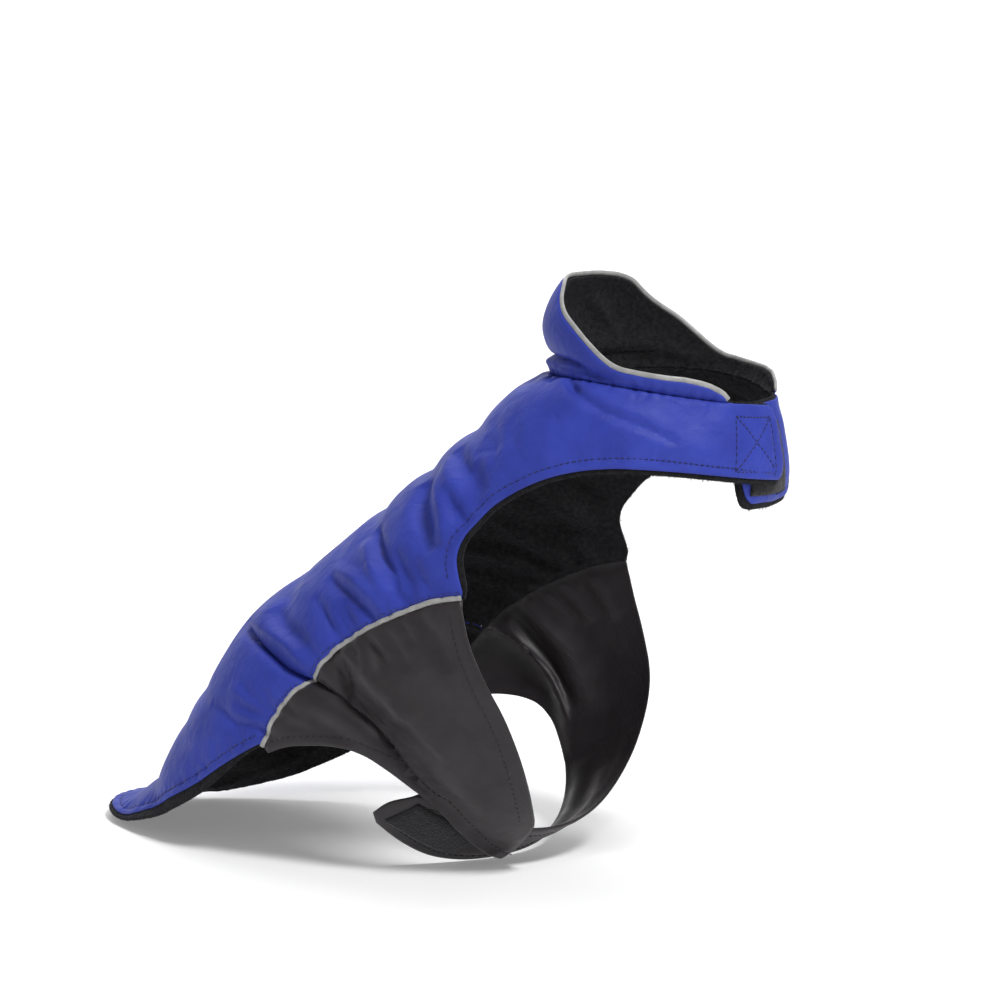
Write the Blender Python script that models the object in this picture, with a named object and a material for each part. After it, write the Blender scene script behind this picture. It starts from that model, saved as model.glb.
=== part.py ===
"""Dog vest, worn and upright on a hollow general figure.

A blue back with two chest flaps is lined with black fleece, wears a stand
collar, and closes round the belly with two black panels. Every piece is cut
in a flat pattern plane: `station` runs in mm down the back from the collar
seam, `angle` runs in degrees round the body from the middle of the back,
positive to the wearer's right. A pattern point is carried onto the body
form, pushed in or out by the folds, and lifted by the layers beneath it.

The row frame is in metres: +X is the wearer's forward, +Y the wearer's left
and +Z up. The origin is on the inside of the back at the withers.
"""
from collections import namedtuple

import bmesh
import bpy
import numpy as np
from mathutils import Vector
from mathutils.geometry import delaunay_2d_cdt

# ---- driving dimensions, in mm unless a name says otherwise ---------------
MM = 0.001
WITHERS_STATION = 56.0

LINING_WALL = 1.8
SHELL_WALL = 1.2
PANEL_WALL = 1.5
PATCH_WALL = 1.0
PIPING_DIAMETER = 2.2
GAP = 0.3
FLAP_GAP = 0.6              # between two flaps that lap over each other

SHELL_FLOOR = LINING_WALL + GAP
SHELL_TOP = SHELL_FLOOR + SHELL_WALL
PANEL_FLOOR = SHELL_TOP - PANEL_WALL
PATCH_FLOOR = SHELL_TOP + GAP
PATCH_TOP = PATCH_FLOOR + PATCH_WALL
HOOK_FLOOR = PATCH_TOP + FLAP_GAP
OVER_FLOOR = HOOK_FLOOR + PATCH_WALL + GAP
CHEST_LAP = OVER_FLOOR      # from the left flap's height to the right one's
BELLY_LAP = OVER_FLOOR - PANEL_FLOOR
CHEST_PRESS = 3.0           # how far the under flap is pressed in, out of that
BELLY_PRESS = 1.5

CHEST_ONLY = 70.0           # stations nearer the neck than this are chest flap
CHEST_LAP_ANGLES = (128.0, 156.0)       # the right flap climbs over this stretch
CHEST_PRESS_ANGLES = (160.0, 177.0)     # the left one sinks, on its own side
BELLY_LAP_ANGLES = (86.0, 114.0)
BELLY_PRESS_ANGLES = (150.0, 190.0)

SEAM_CLEAR = PIPING_DIAMETER / 2 + GAP
SEAM_PIPING_HEIGHT = 2.9    # piping centre above the form, in the side seams
COLLAR_PIPING_HEIGHT = 1.7

MM_PER_DEGREE = 1.5         # scale of the pattern plane round the body
NECK_TO_PLANE = 0.66        # a plane mm round the narrow neck is this long
EDGE_SPACING = 9.0
BACK_SPACING = 12.5
PANEL_SPACING = 9.5
COLLAR_SPACING = 10.0
PIPING_SPACING = 7.0
PIPING_SIDES = 6
ROW_STEP = 0.87             # mesh rows lie this share of their spacing apart
CLEAR_OF_RIM = 0.6          # and keep this share of it clear of the rim
CLEAR_ON_FOLD = 0.45
SAME_POINT = 0.5            # rim points nearer than this are one point

# ---- the body form --------------------------------------------------------
# One row for each ring of the form. A ring hangs between a point on the back
# and a point on the belly, both from the nape seam; side_rise lifts its
# sides towards the head.
Ring = namedtuple("Ring", "station back_x back_z belly_x belly_z half_width egg side_rise")
RINGS = (
    Ring(-64, 26.5, 60, 119, 52, 49, 0.00, 4),
    Ring(-52, 18.5, 50, 121, 42, 52, 0.00, 4),
    Ring(-40, 11, 39.5, 122, 31, 55, 0.00, 4),
    Ring(-26, 6.5, 26, 123, 18, 57, 0.00, 4),
    Ring(-12, 10.5, 12, 122, 3, 57, 0.00, 4),
    Ring(0, 8, 2.5, 121, -10, 56, 0.02, 4),
    Ring(20, -9, -9, 124.5, -27, 66, 0.08, 4),
    Ring(40, -26, -23.5, 127, -49, 74, 0.08, 2),
    Ring(80, -60, -50.5, 116, -110, 82, 0.08, 0),
    Ring(125, -96.5, -79.5, 78, -180, 88, 0.06, 0),
    Ring(175, -134.5, -109, 8, -238, 90, 0.06, 0),
    Ring(215, -168, -133.5, -45, -264, 88, 0.06, 0),
    Ring(255, -193.5, -169, -86, -278, 85, 0.04, 0),
    Ring(290, -214, -199.5, -116, -292, 80, 0.02, 0),
    Ring(325, -232.5, -228, -142, -306, 76, 0.00, 0),
    Ring(350, -250.5, -244, -162, -322, 77, 0.00, 0),
    Ring(380, -278, -252, -184, -340, 81, 0.00, 0),
)

# ---- the cut, right side --------------------------------------------------
Mark = namedtuple("Mark", "station angle")
COLLAR_END = 151.0          # the collar stands open in front, past this angle
FLAP_TOP = (Mark(0.3, COLLAR_END), Mark(0.5, 166), Mark(1.5, 176))
FLAP_END = (Mark(4.5, 179.5), Mark(12, 181), Mark(24, 181.5), Mark(35, 181), Mark(38.5, 179))
ARMHOLE = (
    Mark(39.5, 177), Mark(39, 168), Mark(38.5, 156), Mark(38.3, 143), Mark(38.7, 129.5),
    Mark(39.7, 119), Mark(42, 106), Mark(46, 95.5), Mark(52.5, 86), Mark(61, 79), Mark(70, 74.7),
    Mark(79, 73.2), Mark(87, 72.8), Mark(94, 74.5), Mark(100, 78.5), Mark(105.5, 83.5),
)
SIDE_SEAM = (
    Mark(108, 84.5), Mark(110.7, 82), Mark(115.5, 78.5), Mark(120.5, 76), Mark(131.5, 72),
    Mark(144, 69), Mark(159, 67.4), Mark(170.5, 67.6), Mark(179.5, 69.4), Mark(189, 71.5),
    Mark(200.5, 73.8), Mark(210, 76.9), Mark(222, 81.8),
)
HEM = (
    Mark(223, 80.3), Mark(236, 78.3), Mark(251, 76), Mark(271.5, 72.4), Mark(297, 64.2),
    Mark(316, 55.5), Mark(341, 42), Mark(361, 28), Mark(372, 15), Mark(376, 6), Mark(376.5, 0),
)
BELLY_FRONT = (
    Mark(111.5, 87), Mark(119.5, 94), Mark(129, 105.5), Mark(136, 115.8), Mark(145.6, 128),
    Mark(157, 141.5), Mark(167, 153),
)
BELLY_END = (Mark(170.5, 156), Mark(181, 161), Mark(190.5, 165.5))
BELLY_REAR = (
    Mark(193.5, 165), Mark(191, 152.5), Mark(187, 141), Mark(183, 128), Mark(181, 118),
    Mark(180.7, 108), Mark(183.2, 101), Mark(187, 97), Mark(193.5, 93), Mark(201, 90),
    Mark(210, 87), Mark(221.5, 84.8),
)

# ---- the cut, where the left side differs ---------------------------------
LEFT_FLAP_DROP = 9.0        # the left flap sits lower in front, under the right one
DROP_START, DROP_FULL = 105.0, 165.0
LEFT_FLAP_END = (
    Mark(48.5, -193), Mark(46.5, -196.5), Mark(41, -199.5), Mark(30, -200.5), Mark(14, -200),
    Mark(4.5, -197.5),
)
LEFT_FLAP_TOP = (Mark(1.5, -193), Mark(0.5, -170), Mark(0.3, -COLLAR_END))
LEFT_BELLY_FRONT = (
    Mark(111.5, -87), Mark(119.5, -94), Mark(129, -105), Mark(138, -118), Mark(152, -136),
    Mark(164, -155), Mark(171, -175), Mark(175, -196), Mark(178, -216), Mark(181, -234),
)
LEFT_BELLY_END = (Mark(184, -238.5), Mark(195, -241), Mark(204, -240))
LEFT_BELLY_REAR = (
    Mark(207.5, -236), Mark(209.5, -222), Mark(209.5, -212), Mark(206.5, -202), Mark(200, -189),
    Mark(194, -174), Mark(189.5, -157), Mark(185, -136), Mark(182, -118), Mark(181.2, -108),
    Mark(183.2, -101), Mark(187, -97), Mark(193.5, -93), Mark(201, -90), Mark(210, -87),
    Mark(221.5, -84.8),
)

# ---- the collar's top edge: height above the seam, by angle ---------------
COLLAR_TOP = (
    Mark(-53, 0), Mark(-52.5, 20), Mark(-50.5, 33), Mark(-46.5, 43), Mark(-41.5, 49.5),
    Mark(-37, 55), Mark(-32.5, 61.5), Mark(-28.5, 68), Mark(-24.5, 73.5), Mark(-20, 78.5),
    Mark(-16, 83), Mark(-12.5, 88), Mark(-10, 94), Mark(-9, 103), Mark(-8.5, 116),
    Mark(-8.5, 130), Mark(-7, 141), Mark(-4, 147.5), Mark(-1.8, 149.5),
)

# ---- how far the fleece rolls past the shell's edge -----------------------
FLEECE_EDGE = 2.0
FLEECE_AT_FLAP_TOP = 1.2
FLEECE_AT_RIGHT_END = 1.0
FLEECE_AT_LEFT_END = 4.0
FLAP_TOP_STATION = 12.0     # the flaps' top edge lies nearer the neck than this
RIGHT_END_ANGLE = 178.0     # the flaps' ends lie past these angles
LEFT_END_ANGLE = 194.5
Roll = namedtuple("Roll", "station past_edge")
HEM_ROLL = (
    Roll(221, 1.0), Roll(236, 1.5), Roll(251, 4.0), Roll(275, 6.5), Roll(300, 7.5),
    Roll(320, 7.0), Roll(341, 4.0), Roll(358, 3.0), Roll(376, 2.5),
)

# ---- hook and loop patches: corners in the pattern plane ------------------
Patch = namedtuple("Patch", "station_from station_to angle_from angle_to")
CHEST_HOOK = Patch(10, 34.5, 153, 174)
CHEST_LOOP = Patch(13, 45.5, -195.5, -168)
BELLY_HOOK = Patch(173, 183.5, 139, 153)
BELLY_LOOP = Patch(186, 203, -236, -210)

# ---- the largest folds: + is a ridge, - a trough --------------------------
Fold = namedtuple("Fold", "height width path")
FOLDS = (
    # from the small of the back down across the right side and under the belly
    Fold(-6.5, 5.5, (Mark(216, 22), Mark(211, 29), Mark(199, 44), Mark(192, 53.5), Mark(186, 62.5),
                     Mark(180, 70), Mark(174, 79), Mark(169.5, 88), Mark(168.4, 97), Mark(170.5, 105),
                     Mark(175, 117.5), Mark(178, 128), Mark(182, 140), Mark(189, 158))),
    Fold(2.4, 8.0, (Mark(205, 24), Mark(191, 42), Mark(181, 54), Mark(172, 62), Mark(167, 67))),
    Fold(-3.0, 4.5, (Mark(164, 64), Mark(165, 70.5), Mark(167, 77), Mark(165, 86), Mark(161, 95),
                     Mark(162, 104), Mark(167, 116), Mark(173, 130))),
    # the same two folds on the left side, a little apart from the right ones
    Fold(-5.5, 6.5, (Mark(216, -6), Mark(203, -30), Mark(190, -48), Mark(180, -60), Mark(173, -69),
                     Mark(168, -80), Mark(167, -96), Mark(171, -110), Mark(178, -128))),
    Fold(3.0, 8.0, (Mark(226, -18), Mark(212, -36), Mark(200, -50), Mark(191, -60))),
    Fold(-4.0, 5.5, (Mark(152, -62), Mark(154, -76), Mark(155, -92), Mark(160, -108), Mark(169, -126))),
    # the chest flaps fold in over the neck along a line from nape to closure
    Fold(2.6, 7.0, (Mark(4, 58), Mark(7.5, 72), Mark(13.5, 84), Mark(16, 95), Mark(20, 108),
                    Mark(25, 121), Mark(29, 136), Mark(32, 149))),
    Fold(2.4, 7.0, (Mark(5, -58), Mark(9, -76), Mark(15, -92), Mark(21, -110), Mark(29, -130))),
    # the collar's foot is rolled over its seam
    Fold(-1.6, 3.5, (Mark(-1, -80), Mark(-1, -40), Mark(-1, 0), Mark(-1, 40), Mark(-1, 80))),
    Fold(1.4, 3.5, (Mark(-6, -76), Mark(-7, -35), Mark(-7, 0), Mark(-7, 35), Mark(-6, 76))),
    Fold(-1.8, 3.5, (Mark(-4, -94), Mark(-9, -74), Mark(-13, -48), Mark(-13, 0), Mark(-13, 30),
                     Mark(-12, 56), Mark(-8.7, 71.5), Mark(-4.5, 84), Mark(-3, 96))),
    # shallow hollows across the back
    Fold(-2.4, 8.0, (Mark(38, -30), Mark(45, -8), Mark(46, 18), Mark(48, 45), Mark(58, 60))),
    Fold(-2.6, 8.0, (Mark(82, -34), Mark(80, -8), Mark(79, 18), Mark(78, 38), Mark(92, 62))),
    Fold(-2.2, 8.0, (Mark(110, -12), Mark(114, 14), Mark(118, 38), Mark(124, 62))),
    Fold(-2.2, 8.0, (Mark(96, -66), Mark(104, -48), Mark(108, -26), Mark(104, -6))),
    Fold(-2.4, 8.0, (Mark(134, -66), Mark(142, -44), Mark(146, -20), Mark(143, 8))),
    Fold(-2.2, 8.0, (Mark(180, 8), Mark(182, 28), Mark(180, 46), Mark(174, 58))),
    # the hem kicks out behind this crease
    Fold(-2.4, 9.0, (Mark(310, -66), Mark(320, -44), Mark(324, -16), Mark(324, 16), Mark(320, 44),
                     Mark(310, 66))),
)
FOLD_STEP = 7.0             # spacing of the points that follow a fold's path
DEEP_FOLD = 4.0             # folds at least this deep get their own mesh points

# ---- materials: base colour, roughness ------------------------------------
Cloth = namedtuple("Cloth", "colour roughness")
CLOTHS = {
    "blue_nylon": Cloth((0.035, 0.060, 0.400), 0.45),
    "black_fleece": Cloth((0.012, 0.012, 0.013), 0.95),
    "black_nylon": Cloth((0.040, 0.036, 0.039), 0.50),
    "grey_piping": Cloth((0.330, 0.330, 0.320), 0.40),
    "black_loop": Cloth((0.010, 0.010, 0.011), 0.90),
    "black_hook": Cloth((0.015, 0.015, 0.016), 0.60),
}


# ---- curves and the pattern plane -----------------------------------------
def smooth(places, knots, rows):
    """A cubic curve through the rows at the knots, read at the places."""
    knots = np.asarray(knots, float)
    rows = np.asarray(rows, float)
    slopes = np.gradient(rows, knots, axis=0)
    places = np.clip(places, knots[0], knots[-1])
    left = np.clip(np.searchsorted(knots, places, side="right") - 1, 0, len(knots) - 2)
    span = (knots[left + 1] - knots[left])[:, None]
    t = (places[:, None] - knots[left][:, None]) / span
    start = (2 * t**3 - 3 * t**2 + 1) * rows[left] + (t**3 - 2 * t**2 + t) * span * slopes[left]
    end = (3 * t**2 - 2 * t**3) * rows[left + 1] + (t**3 - t**2) * span * slopes[left + 1]
    return start + end


def ease(value, start, end):
    """0 before start, 1 after end, and an even slope between."""
    t = np.clip((value - start) / (end - start), 0, 1)
    return t * t * (3 - 2 * t)


def in_plane(marks):
    """Marks as points of the pattern plane, in mm: round the body, then down the back."""
    return np.array([(mark.angle * MM_PER_DEGREE, mark.station) for mark in marks])


def trace(marks, spacing):
    """Even points along the smooth line through the marks."""
    points = in_plane(marks)
    run = np.concatenate([[0], np.cumsum(np.linalg.norm(np.diff(points, axis=0), axis=1))])
    count = max(1, round(run[-1] / spacing))
    return smooth(np.linspace(0, run[-1], count + 1), run, points)


def beside(line, distance, to_plane=1.0):
    """The line moved sideways, to its left when distance is positive.

    to_plane is the real length of a plane mm round the body.
    """
    scale = np.array([to_plane, 1.0])
    ahead = np.gradient(line * scale, axis=0)
    ahead /= np.linalg.norm(ahead, axis=1)[:, None]
    return line + distance * np.column_stack([-ahead[:, 1], ahead[:, 0]]) / scale


def mirrored(marks):
    """The same marks on the wearer's left, in the opposite order."""
    return tuple(Mark(mark.station, -mark.angle) for mark in reversed(marks))


def dropped(marks):
    """Marks of the left flap, let down towards the front."""
    return tuple(
        Mark(mark.station + LEFT_FLAP_DROP * float(ease(-mark.angle, DROP_START, DROP_FULL)), mark.angle)
        for mark in marks
    )


# ---- the form and its folds -----------------------------------------------
def form_points(plane):
    """Pattern points on the bare form, in mm from the nape seam."""
    angle = np.radians(plane[:, 0] / MM_PER_DEGREE)
    rows = smooth(plane[:, 1], [ring.station for ring in RINGS], [ring[1:] for ring in RINGS])
    back, belly = rows[:, 0:2], rows[:, 2:4]
    half_width, egg, side_rise = rows[:, 4], rows[:, 5], rows[:, 6]
    chord = (back - belly) / 2
    headward = np.column_stack([chord[:, 1], -chord[:, 0]])
    headward /= np.linalg.norm(headward, axis=1)[:, None]
    cos, sin = np.cos(angle), np.sin(angle)
    side = (back + belly) / 2 + chord * cos[:, None] + headward * (side_rise * sin**2)[:, None]
    across = -half_width * sin * (1 + egg * cos)
    return np.column_stack([side[:, 0], across, side[:, 1]])


def form_normals(plane):
    """Outward directions of the form at the pattern points."""
    step = 0.5
    down = form_points(plane + (0, step)) - form_points(plane - (0, step))
    round_body = form_points(plane + (step, 0)) - form_points(plane - (step, 0))
    normals = np.cross(down, round_body)
    normals /= np.linalg.norm(normals, axis=1)[:, None]
    return normals


def fold_heights(plane):
    """What the folds add to the height of the cloth, in mm."""
    total = np.zeros(len(plane))
    full_turn = np.array([360 * MM_PER_DEGREE, 0])
    for fold in FOLDS:
        line = trace(fold.path, FOLD_STEP)
        along = np.linspace(0, 1, len(line))
        for turn in (-1, 0, 1):
            away, place = nearest_on_line(plane + turn * full_turn, line, along)
            fade = np.sqrt(np.clip(np.sin(np.pi * place), 0, 1))
            total += fold.height * fade * np.exp(-((away / fold.width) ** 2))
    return total


def nearest_on_line(plane, line, along):
    """Distance to a line, and how far along it the nearest point lies."""
    away = np.full(len(plane), np.inf)
    place = np.zeros(len(plane))
    for start, end, at_start, at_end in zip(line[:-1], line[1:], along[:-1], along[1:]):
        run = end - start
        t = np.clip((plane - start) @ run / (run @ run), 0, 1)
        distance = np.linalg.norm(plane - start - t[:, None] * run, axis=1)
        closer = distance < away
        away[closer] = distance[closer]
        place[closer] = (at_start + t * (at_end - at_start))[closer]
    return away, place


def lap_heights(plane):
    """The right flap and belly panel ride over the left ones, which are pressed in."""
    angle, station = plane[:, 0] / MM_PER_DEGREE, plane[:, 1]
    chest = (CHEST_LAP - CHEST_PRESS) * ease(angle, *CHEST_LAP_ANGLES)
    chest -= CHEST_PRESS * ease(-angle, *CHEST_PRESS_ANGLES)
    belly = (BELLY_LAP - BELLY_PRESS) * ease(angle, *BELLY_LAP_ANGLES)
    belly -= BELLY_PRESS * ease(-angle, *BELLY_PRESS_ANGLES)
    return np.where(station < CHEST_ONLY, chest, belly)


def on_body(plane, height):
    """Pattern points in the row frame, in metres, at a height over the form in mm."""
    total = height + fold_heights(plane) + lap_heights(plane)
    points = form_points(plane) + form_normals(plane) * total[:, None]
    withers = form_points(np.array([[0.0, WITHERS_STATION]]))
    return (points - withers) * MM


# ---- cutting a piece ------------------------------------------------------
def rim_of(sections):
    """One closed rim from sections that follow each other, without doubled corners."""
    rim = np.concatenate(sections)
    keep = np.linalg.norm(rim - np.roll(rim, 1, axis=0), axis=1) > SAME_POINT
    return rim[keep]


def inside(points, rim):
    """Which points lie inside a closed rim."""
    x, y = points[:, 0][:, None], points[:, 1][:, None]
    x0, y0 = rim[:, 0], rim[:, 1]
    x1, y1 = np.roll(x0, -1), np.roll(y0, -1)
    crosses = (y0 > y) != (y1 > y)
    rise = np.where(y1 == y0, 1.0, y1 - y0)
    left_of = x < x0 + (y - y0) * (x1 - x0) / rise
    return (crosses & left_of).sum(axis=1) % 2 == 1


def apart(points, others, distance):
    """Which points lie at least a distance from all the others."""
    gaps = np.linalg.norm(points[:, None] - others[None], axis=2)
    return gaps.min(axis=1) >= distance


def fold_rows(rim, taken, distance):
    """Rows of points along the deep folds that cross a piece, clear of what is taken."""
    rows = taken
    for fold in FOLDS:
        if abs(fold.height) < DEEP_FOLD:
            continue
        line = trace(fold.path, FOLD_STEP)
        for side in (0.0, -1.0, 1.0):
            row = beside(line, side * fold.width)
            row = row[inside(row, rim)]
            if len(row):
                rows = np.concatenate([rows, row[apart(row, rows, distance)]])
    return rows


def cut(rim, spacing, patches=()):
    """Points and triangles that fill a rim; patch outlines become mesh lines."""
    outlines = [patch_rim(patch) for patch in patches]
    fixed = fold_rows(rim, np.concatenate([rim] + outlines), CLEAR_ON_FOLD * spacing)
    low, high = rim.min(axis=0), rim.max(axis=0)
    row_step = ROW_STEP * spacing
    grid = [
        (x + spacing / 2 * (row % 2), y)
        for row, y in enumerate(np.arange(low[1], high[1], row_step))
        for x in np.arange(low[0], high[0], spacing)
    ]
    grid = np.array(grid)
    grid = grid[inside(grid, rim)]
    grid = grid[apart(grid, fixed, CLEAR_OF_RIM * spacing)]
    points = np.concatenate([fixed, grid])
    edges, start = [], 0
    for outline in [rim] + outlines:
        count = len(outline)
        edges += [(start + i, start + (i + 1) % count) for i in range(count)]
        start += count
    corners = [Vector(point) for point in points]
    found, _, triangles, *_ = delaunay_2d_cdt(corners, edges, [], 0, 1e-6, False)
    plane = np.array([tuple(point) for point in found])
    return part_inside(plane, triangles, rim)


def patch_rim(patch):
    """A patch's outline in the plane, with points along each side."""
    corners = (
        Mark(patch.station_from, patch.angle_from), Mark(patch.station_from, patch.angle_to),
        Mark(patch.station_to, patch.angle_to), Mark(patch.station_to, patch.angle_from),
    )
    sides = [
        trace((corners[i], corners[(i + 1) % 4]), EDGE_SPACING)[:-1] for i in range(4)
    ]
    return np.concatenate(sides)


def part_inside(plane, triangles, rim):
    """The share of a cut that lies inside a rim, renumbered."""
    middles = plane[np.array(triangles)].mean(axis=1)
    chosen = np.array(triangles)[inside(middles, rim)]
    used, renumbered = np.unique(chosen, return_inverse=True)
    return plane[used], [tuple(row) for row in renumbered.reshape(chosen.shape)]


def open_edges(triangles):
    """Edges with a triangle on one side only, in that triangle's direction."""
    directed = {
        (triangle[i], triangle[(i + 1) % 3]) for triangle in triangles for i in range(3)
    }
    return [(a, b) for a, b in directed if (b, a) not in directed]


def grown(plane, triangles, growth):
    """A cut with a strip added round it; growth gives its width at a rim point."""
    after = dict(open_edges(triangles))
    first = min(after)
    loop = [first]
    while after[loop[-1]] != first:
        loop.append(after[loop[-1]])
    rim = plane[loop]
    ahead = np.roll(rim, -1, axis=0) - rim
    ahead /= np.linalg.norm(ahead, axis=1)[:, None]
    bisector = ahead + np.roll(ahead, 1, axis=0)
    bisector /= np.linalg.norm(bisector, axis=1)[:, None]
    outward = np.column_stack([bisector[:, 1], -bisector[:, 0]])
    widths = growth(rim)
    number = {}
    points = list(plane)
    for vertex, point, way, width in zip(loop, rim, outward, widths):
        if width > 0:
            number[vertex] = len(points)
            points.append(point + way * width)
    added = []
    for a, b in zip(loop, loop[1:] + loop[:1]):
        if a in number:
            added.append((b, a, number[a]))
        if b in number:
            added.append((b, number.get(a, a), number[b]))
    return np.array(points), list(triangles) + added


# ---- turning a cut into a solid -------------------------------------------
def make_object(name, points, faces, material):
    """A mesh object with its faces turned outward and its own material."""
    mesh = bpy.data.meshes.new(name)
    mesh.from_pydata([tuple(point) for point in points], [], faces)
    shaper = bmesh.new()
    shaper.from_mesh(mesh)
    bmesh.ops.recalc_face_normals(shaper, faces=shaper.faces)
    shaper.to_mesh(mesh)
    shaper.free()
    mesh.shade_smooth()
    mesh.set_sharp_from_angle(angle=np.radians(50))
    mesh.materials.append(make_material(name, CLOTHS[material]))
    thing = bpy.data.objects.new(name, mesh)
    bpy.context.scene.collection.objects.link(thing)
    return thing


def make_material(name, cloth):
    """A plain Principled material in the cloth's colour."""
    material = bpy.data.materials.new(name)
    material.use_nodes = True
    shader = material.node_tree.nodes["Principled BSDF"]
    shader.inputs["Base Color"].default_value = (*cloth.colour, 1.0)
    shader.inputs["Roughness"].default_value = cloth.roughness
    shader.inputs["Metallic"].default_value = 0.0
    return material


def make_wall(name, plane, triangles, floor, top, material):
    """A cloth wall between two heights over the form."""
    count = len(plane)
    points = np.concatenate([on_body(plane, top), on_body(plane, floor)])
    faces = list(triangles)
    faces += [(a + count, c + count, b + count) for a, b, c in triangles]
    for a, b in open_edges(triangles):
        faces += [(b, a, a + count), (b, a + count, b + count)]
    return make_object(name, points, [tuple(map(int, face)) for face in faces], material)


def make_piping(name, line, height, material):
    """A round piping along a line of the pattern plane."""
    centres = on_body(line, height)
    up = on_body(line, height + 1.0) - centres
    ahead = np.gradient(centres, axis=0)
    side = np.cross(ahead, up)
    side /= np.linalg.norm(side, axis=1)[:, None]
    up = np.cross(side, ahead)
    up /= np.linalg.norm(up, axis=1)[:, None]
    radius = PIPING_DIAMETER / 2 * MM
    points = []
    for centre, across, away in zip(centres, side, up):
        for turn in np.arange(PIPING_SIDES) * 2 * np.pi / PIPING_SIDES:
            points.append(centre + radius * (across * np.cos(turn) + away * np.sin(turn)))
    faces = [tuple(range(PIPING_SIDES))]
    faces.append(tuple(len(points) - 1 - i for i in range(PIPING_SIDES)))
    for ring in range(len(centres) - 1):
        for i in range(PIPING_SIDES):
            a, b = ring * PIPING_SIDES + i, ring * PIPING_SIDES + (i + 1) % PIPING_SIDES
            faces += [(a, a + PIPING_SIDES, b), (b, a + PIPING_SIDES, b + PIPING_SIDES)]
    return make_object(name, points, faces, material)


# ---- the pieces -----------------------------------------------------------
def back_rim():
    """The back and its chest flaps: neck seam, right flap and side, hem, left side and flap."""
    neck = (Mark(0.3, -COLLAR_END), Mark(0.3, 0), Mark(0.3, COLLAR_END))
    seam = trace(SIDE_SEAM, EDGE_SPACING)
    left_seam = trace(mirrored(SIDE_SEAM), EDGE_SPACING)
    whole_hem = HEM + mirrored(HEM)[1:]
    return rim_of([
        trace(neck, EDGE_SPACING),
        trace(FLAP_TOP, EDGE_SPACING),
        trace(FLAP_END, EDGE_SPACING),
        trace(ARMHOLE, EDGE_SPACING),
        beside(seam, SEAM_CLEAR),
        trace(whole_hem, EDGE_SPACING),
        beside(left_seam, SEAM_CLEAR),
        trace(dropped(mirrored(ARMHOLE)), EDGE_SPACING),
        trace(LEFT_FLAP_END, EDGE_SPACING),
        trace(LEFT_FLAP_TOP, EDGE_SPACING)[:-1],
    ])


def fleece_growth(rim):
    """How far the back lining rolls past the shell at each rim point."""
    angle, station = np.abs(rim[:, 0]) / MM_PER_DEGREE, rim[:, 1]
    hem_roll = smooth(station, [row.station for row in HEM_ROLL], [row[1:] for row in HEM_ROLL])[:, 0]
    seam = trace(SIDE_SEAM, EDGE_SPACING)
    mirror = rim * np.where(rim[:, :1] < 0, (-1.0, 1.0), (1.0, 1.0))
    in_seam = ~apart(mirror, beside(seam, SEAM_CLEAR), SAME_POINT)
    growth = np.where(station > SIDE_SEAM[-1].station, hem_roll, FLEECE_EDGE)
    on_right = rim[:, 0] > 0
    flap_end = np.where(on_right, RIGHT_END_ANGLE, LEFT_END_ANGLE)
    on_top = (angle > COLLAR_END + 1) & (angle < flap_end) & (station < FLAP_TOP_STATION)
    growth[on_top] = FLEECE_AT_FLAP_TOP
    growth[on_right & (angle > flap_end)] = FLEECE_AT_RIGHT_END
    growth[~on_right & (angle > flap_end)] = FLEECE_AT_LEFT_END
    growth[in_seam | ((station < 1) & (angle < COLLAR_END + 1))] = 0.0
    return growth


def make_back():
    """The blue back, its fleece lining and the chest closure."""
    plane, triangles = cut(back_rim(), BACK_SPACING, (CHEST_HOOK, CHEST_LOOP))
    make_wall("back_shell", plane, triangles, SHELL_FLOOR, SHELL_TOP, "blue_nylon")
    lining = grown(plane, triangles, fleece_growth)
    make_wall("back_lining", *lining, 0.0, LINING_WALL, "black_fleece")
    loop = part_inside(plane, triangles, patch_rim(CHEST_LOOP))
    make_wall("chest_loop_patch", *loop, PATCH_FLOOR, PATCH_TOP, "black_loop")
    hook = part_inside(plane, triangles, patch_rim(CHEST_HOOK))
    hook_floor = HOOK_FLOOR - CHEST_LAP
    make_wall("chest_hook_patch", *hook, hook_floor, hook_floor + PATCH_WALL, "black_hook")


def make_collar():
    """The collar's shell and lining, and the piping along its top edge."""
    whole_top = mirrored(COLLAR_TOP)[:-1] + COLLAR_TOP
    top = trace(whole_top, PIPING_SPACING)
    seam = trace((Mark(-0.3, COLLAR_TOP[-1].angle), Mark(-0.3, -COLLAR_TOP[-1].angle)), EDGE_SPACING)
    rim = rim_of([beside(top, SEAM_CLEAR, NECK_TO_PLANE), seam])
    plane, triangles = cut(rim, COLLAR_SPACING)
    make_wall("collar_shell", plane, triangles, SHELL_FLOOR, SHELL_TOP, "blue_nylon")
    make_wall("collar_lining", plane, triangles, 0.0, LINING_WALL, "black_fleece")
    make_piping("collar_piping", top, COLLAR_PIPING_HEIGHT, "grey_piping")


def make_side_piping(side, marks):
    """The piping in one side seam."""
    make_piping(f"side_piping_{side}", trace(marks, EDGE_SPACING), SEAM_PIPING_HEIGHT, "grey_piping")


def make_right_belly():
    """The right belly panel, over the left one, with the hook patch inside its end."""
    seam = beside(trace(SIDE_SEAM, EDGE_SPACING), -SEAM_CLEAR)
    rim = rim_of([
        seam[::-1],
        trace(BELLY_FRONT, EDGE_SPACING),
        trace(BELLY_END, EDGE_SPACING),
        trace(BELLY_REAR, EDGE_SPACING),
    ])
    plane, triangles = cut(rim, PANEL_SPACING, (BELLY_HOOK,))
    make_wall("belly_panel_right", plane, triangles, PANEL_FLOOR, SHELL_TOP, "black_nylon")
    hook = part_inside(plane, triangles, patch_rim(BELLY_HOOK))
    hook_top = PANEL_FLOOR - GAP
    make_wall("belly_hook_patch", *hook, hook_top - PATCH_WALL, hook_top, "black_hook")


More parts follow.
